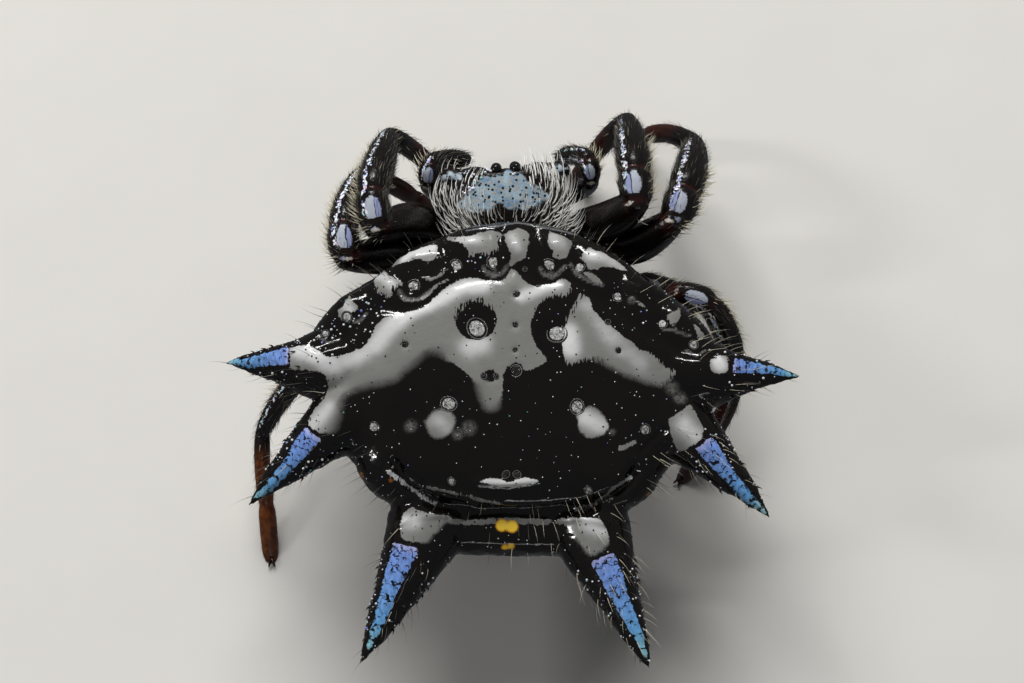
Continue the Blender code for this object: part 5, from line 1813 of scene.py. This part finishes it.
# The last colour of each is a painted highlight on the crest of the outer ring
THIN_CUTICLE = sigillum_material("thin_cuticle_over_muscle", "#767573", "#C2C2BF", "#2A2827", "#6A6968")
DARK_PIT = sigillum_material("dark_muscle_pit", "#0C0A09", "#3A3836", "#080706", "#8E8D8B")
for name, spots, finish, height, seed in (
    ("sigilla", SIGILLA, THIN_CUTICLE, 0.8, 3), ("small_pits", SMALL_PITS, DARK_PIT, 1.1, 4),
):
    places = places_object(f"{name}_places", spots, back)
    grown(places, SIGILLA_TREE, name, "shell", finish, height, 36, seed)
    bpy.data.objects.remove(places, do_unlink=True)

# %% [markdown]
# ## Sockets, teeth and long hairs of the back
#
# The whole back is strewn with the sockets of fine hairs: black grains on the pale marks, bright
# glints on the black. The thorns carry the coarsest, drawn out into small teeth that point to
# the tip. The hairs themselves are long and few and stand out from the thorns and the edge.

# %% Where grains, teeth and hairs grow
GRAIN_SIZE = 0.022
SOCKET_RADIUS = 0.042
SOCKET_WIRE = 0.013


def thorn_frame(points):
    """For each point: its distance from a thorn's axis in radii, its share along, the way to the tip."""
    near = np.full(len(points), 1e9)
    share = np.zeros(len(points))
    tipward = np.zeros((len(points), 3))
    for rows in THORNS:
        axis = smooth_points(rows, 8)
        step = unit(np.gradient(axis[:, :3], axis=0))
        for i, (sample, direction) in enumerate(zip(axis, step)):
            away = np.linalg.norm(points - sample[:3], axis=1) / max(sample[3], 0.12)
            closer = away < near
            near = np.where(closer, away, near)
            share = np.where(closer, i / len(axis), share)
            tipward[closer] = direction
    return near, share, tipward


def scatter_tree(name, made, oriented):
    """Scatters a small shape over a skin that carries hair, and lie where it is to be turned."""
    numbers = {"Spacing": 0.1, "Per Square": 10.0, "Size": 0.02, "Seed": 1}
    tree, given = begun_tree(name, "Skin", "Strewn", numbers)
    roots = roots_on_skin(tree, given)
    shape = put(tree, "smooth", made(tree))
    size = put(tree, "times", put(tree, "random share", 0.5, 1.2, given["Seed"]), given["Size"])
    turn = roots["Rotation"]
    if oriented:
        turn = put(tree, "swung", turn, put(tree, "skin vector", "lie"))
    return ended_tree(tree, stood(tree, roots["Points"], shape, turn, size), given["Finish"], "Strewn")


def bead(tree):
    return put(tree, "GeometryNodeMeshIcoSphere", {"Radius": 1.0, "Subdivisions": 2})


def socket_arc(tree):
    """Half a ring of round wire, open towards X, one unit in radius."""
    start, sweep = math.radians(95), math.radians(170)
    arc = {"Resolution": 8, "Radius": 1.0, "Start Angle": start, "Sweep Angle": sweep}
    arc = put(tree, "GeometryNodeCurveArc", arc)
    wire = {"Resolution": 6, "Radius": SOCKET_WIRE / SOCKET_RADIUS}
    wire = put(tree, "GeometryNodeCurvePrimitiveCircle", wire)
    return put(tree, "GeometryNodeCurveToMesh", {"Curve": arc, "Profile Curve": wire, "Fill Caps": True})


def glint_material():
    """Beads painted with the colours of their glints: white, blue, teal, violet; the lamps also catch them.
    """
    material, tree, shader = new_material("painted_glint_bead", Roughness=0.2, IOR=1.56, Metallic=0.2)
    painted_glint_tone = put(tree, "noise", millimetres(tree), 1 / 0.13, 1.0)
    paint(tree, shader, hues(
        tree, painted_glint_tone, (0.28, "#6A72E0"), (0.4, "#FFFFFF"), (0.6, "#E6ECF6"), (0.72, "#6FD0CB")
    ))
    return material


BEADS = scatter_tree("grains", bead, False)
SOCKETS = scatter_tree("sockets", socket_arc, True)
# Glossy enough that each bead catches the lamp as one glint
BLACK_BEAD = two_tone(
    "black_cuticle_bead", "#070605", "#1A1412", 0.3,
    Roughness=0.12, IOR=1.56, Coat_Weight=1.0, Coat_Roughness=0.05,
)
GLINT_BEAD = glint_material()
# Places, with their reach, of the larger painted glints on the black
GLINT_PLACES = [
    (318, 342, 0.9), (350, 322, 0.9), (374, 306, 0.6), (472, 262, 0.4), (500, 258, 0.3), (640, 318, 0.5),
    (353, 341, 0.2), (381, 301, 0.2), (330, 305, 0.16), (311, 316, 0.16), (378, 269, 0.14),
]


def strew_back(obj):
    """Grains all over, sockets and teeth on the thorns, and long hairs on thorns and edge."""
    points = points_of(obj.data)
    normals = normals_of(obj)
    near, share, tipward = thorn_frame(points)
    on_thorn = (1 - smoothstep(1.15, 1.6, near)) * smoothstep(0.25, 0.4, share)
    radial = points - np.array([0.0, ABDOMEN_CENTRE_Y, 0.0])
    radial[:, 2] = 0
    outward = tipward * on_thorn[:, None] + unit(radial) * (1 - on_thorn)[:, None]
    angle = np.arctan2(points[:, 1] - ABDOMEN_CENTRE_Y, points[:, 0])
    edge = np.hypot(points[:, 0], points[:, 1] - ABDOMEN_CENTRE_Y) / outline_radius(angle)
    upper = smoothstep(-0.3, 0.3, normals[:, 2])
    rim = smoothstep(0.8, 0.95, edge)
    on_blue = smoothstep(-0.06, 0.0, kept(obj, "blue"))
    grains = np.clip(0.4 + 0.6 * rim + on_thorn, 0, 1) * upper * (1 - on_blue)
    glints = back.in_spots(points, GLINT_PLACES, GLINT_CORE)
    on_black = upper * (kept(obj, "pale") < -0.02) * (1 - on_blue)
    glints = np.maximum(glints, 0.5 * on_thorn) * on_black
    sockets = np.maximum(on_blue, 0.3 * on_thorn * upper)
    # The speck and glint grains are beads painted as glints on the black
    for tree, name, finish, sizes, hair in (
        (BEADS, "socket_grains", BLACK_BEAD, (0.09, 12.0, GRAIN_SIZE, 5), grains),
        (BEADS, "speck_grains", GLINT_BEAD, (0.09, 6.5, 0.016, 10), on_black),
        (BEADS, "glint_grains", GLINT_BEAD, (0.06, 34.0, 0.03, 9), glints),
        (SOCKETS, "thorn_sockets", BLACK_BEAD, (0.135, 42.0, SOCKET_RADIUS, 12), sockets),
    ):
        strewn(obj, tree, name, "shell", finish, sizes, hair, outward, normals)
    teeth = on_thorn * (0.4 + 0.6 * smoothstep(-0.2, 0.2, normals[:, 2])) * (1 - 0.6 * on_blue)
    strewn(obj, BRISTLES, "thorn_teeth", "shell", BLACK_BEAD, (0.17, 16.0, 0.15, 0.27, -0.2, 0.15, 2, 6),
           teeth, outward * 0.9 + normals * 0.55, normals)
    level = smoothstep(3.4, 4.2, points[:, 2])
    hairs = np.clip(on_thorn + 0.5 * rim * (1 - smoothstep(1.2, 1.5, edge)) * level, 0, 1)
    lean = outward * 0.8 + normals * 0.75
    left = smoothstep(-0.6, 0.6, -points[:, 0])
    for name, side, finish, seed in (
        ("back_hairs_grey", 0.35 + 0.65 * left, GREY_BRISTLE, 7),
        ("back_hairs_pale", 0.15 + 0.85 * (1 - left), PALE_BRISTLE, 8),
    ):
        strewn(obj, BRISTLES, name, "shell", finish, (0.16, 9.0, 0.62, 0.013, 0.25, 0.3, 6, seed),
               hairs * side, lean, outward)


def bead_head(obj):
    """A short row of beads painted with glints, from the median eyes down the left of the blue patch."""
    normals = normals_of(obj)
    strewn(obj, BEADS, "head_beads", "carapace", GLINT_BEAD, (0.05, 300.0, 0.042, 15),
           kept(obj, "bead_row"), normals, normals)


bead_head(carapace)
settle(carapace, "carapace", "carapace")
strew_back(abdomen)
settle(abdomen, "shell", "abdomen_shell", "abdomen_belly")

# %% [markdown]
# ## Jaws, breastplate, waist and spinnerets
#
# The jaws, fangs and spinnerets are drawn afresh as tapering tubes, so that the jaws reach up
# into the head and down to the fangs. The breastplate and the waist are copies of the frame's
# solids. A voxel skin round each, relaxed a little, gives the rounded surface of cuticle.

# %% Underside pieces
JAW = [
    (0.4, 6.1, 3.0, 0.26), (0.44, 6.4, 2.4, 0.31), (0.45, 6.58, 1.86, 0.33), (0.45, 6.66, 1.48, 0.28),
    (0.45, 6.68, 1.24, 0.22), (0.45, 6.69, 1.12, 0.12),
]
JAW_FANG = [
    (0.48, 6.69, 1.24, 0.13), (0.48, 6.71, 1.04, 0.125), (0.4, 6.71, 0.93, 0.1), (0.28, 6.7, 0.9, 0.07),
    (0.16, 6.66, 0.96, 0.02),
]
SPINNERET_MOUND = ((0.0, 0.1, 1.5), (0.84, 0.84, 0.52))
SPINNERET_CONES = [(0.24, 0.24, 0.2, 0.42), (0.26, -0.26, 0.18, 0.38), (0.09, -0.02, 0.09, 0.26)]


def mirrored_tubes(rows, placed=turned):
    """The same tapering tube on both sides, turned with the head."""
    sides = ([(side * x, y, z, radius) for x, y, z, radius in rows] for side in (-1, 1))
    return [tube(smooth_points(placed(side), 5), 20) for side in sides]


def spinneret_pieces():
    """A low round mound with three pairs of short cones."""
    (x0, y0, z0), half = SPINNERET_MOUND
    pieces = [ball(48, 32, lambda x, y, z: Vector((x0 + x * half[0], y0 + y * half[1], z0 + z * half[2])))]
    for x, y, radius, length in SPINNERET_CONES:
        rows = [
            (x, y0 + y, 1.25, radius), (x + 0.05, y0 + y, 1.16 - length, radius * 0.85),
            (x, y0 + y * 0.8, 1.04 - length, radius * 0.4),
        ]
        pieces.extend(mirrored_tubes(rows, placed=list))
    return pieces


MADE_PIECES = {
    "jaws": lambda: mirrored_tubes(JAW), "fangs": lambda: mirrored_tubes(JAW_FANG),
    "spinneret_cluster": spinneret_pieces,
}


def copy_of(node):
    """A frame solid's own faces, in the scene's millimetres."""
    bm = bmesh.new()
    bm.from_mesh(bpy.data.objects[node].data)
    bmesh.ops.remove_doubles(bm, verts=bm.verts, dist=1e-7)
    bmesh.ops.transform(bm, matrix=TO_FRAME.inverted(), verts=bm.verts)
    return bm


def refined(name, nodes, voxel, rounds, material):
    """A smoothed skin that stands for frame nodes, made afresh or round copies of them."""
    make = MADE_PIECES.get(name, lambda: [copy_of(node) for node in nodes])
    obj = fused(name, make(), voxel)
    relax(obj.data, rounds)
    obj.data.materials.append(material)
    return obj


def body_material(name, low, high, roughness):
    """Dark cuticle with fine granules, for the parts underneath."""
    material, tree, shader = new_material(name, Roughness=roughness, IOR=1.56)
    place = millimetres(tree)
    tone = put(tree, "noise", place, 1 / 0.4, 3.0)
    paint(tree, shader, put(tree, "blend", put(tree, "step", tone, 0.3, 0.7), low, high))
    bumped(tree, shader, put(tree, "noise", place, 1 / 0.05, 2.0), 0.012)
    return material


BROWN_BLACK = body_material("brown_black_cuticle", "#120B08", "#2A1811", 0.3)
RED_BROWN = body_material("red_brown_cuticle", "#3A150A", "#5C2410", 0.25)
for name, slot, nodes, voxel, finish, density in (
    ("jaws", "jaws", ["chelicera_left", "chelicera_right"], 0.035, BROWN_BLACK, 40.0),
    ("fangs", "jaws", ["fang_left", "fang_right"], 0.018, RED_BROWN, 0.0),
    ("breastplate", "underside", ["sternum"], 0.045, BROWN_BLACK, 30.0),
    ("waist", "underside", ["pedicel"], 0.035, BROWN_BLACK, 0.0),
    ("spinneret_cluster", "underside", ["spinnerets"], 0.035, BROWN_BLACK, 60.0),
):
    piece = refined(name, nodes, voxel, 3, finish)
    if density:
        unwrap(piece)
        normals = normals_of(piece)
        strewn(piece, BRISTLES, f"{name}_hairs", slot, DARK_BRISTLE,
               (0.07, density, 0.28, 0.03, 0.2, 0.3, 4, 31),
               np.ones(len(normals)), normals + np.array([0.0, 0.2, -0.8]), normals)
    settle(piece, slot, *nodes)
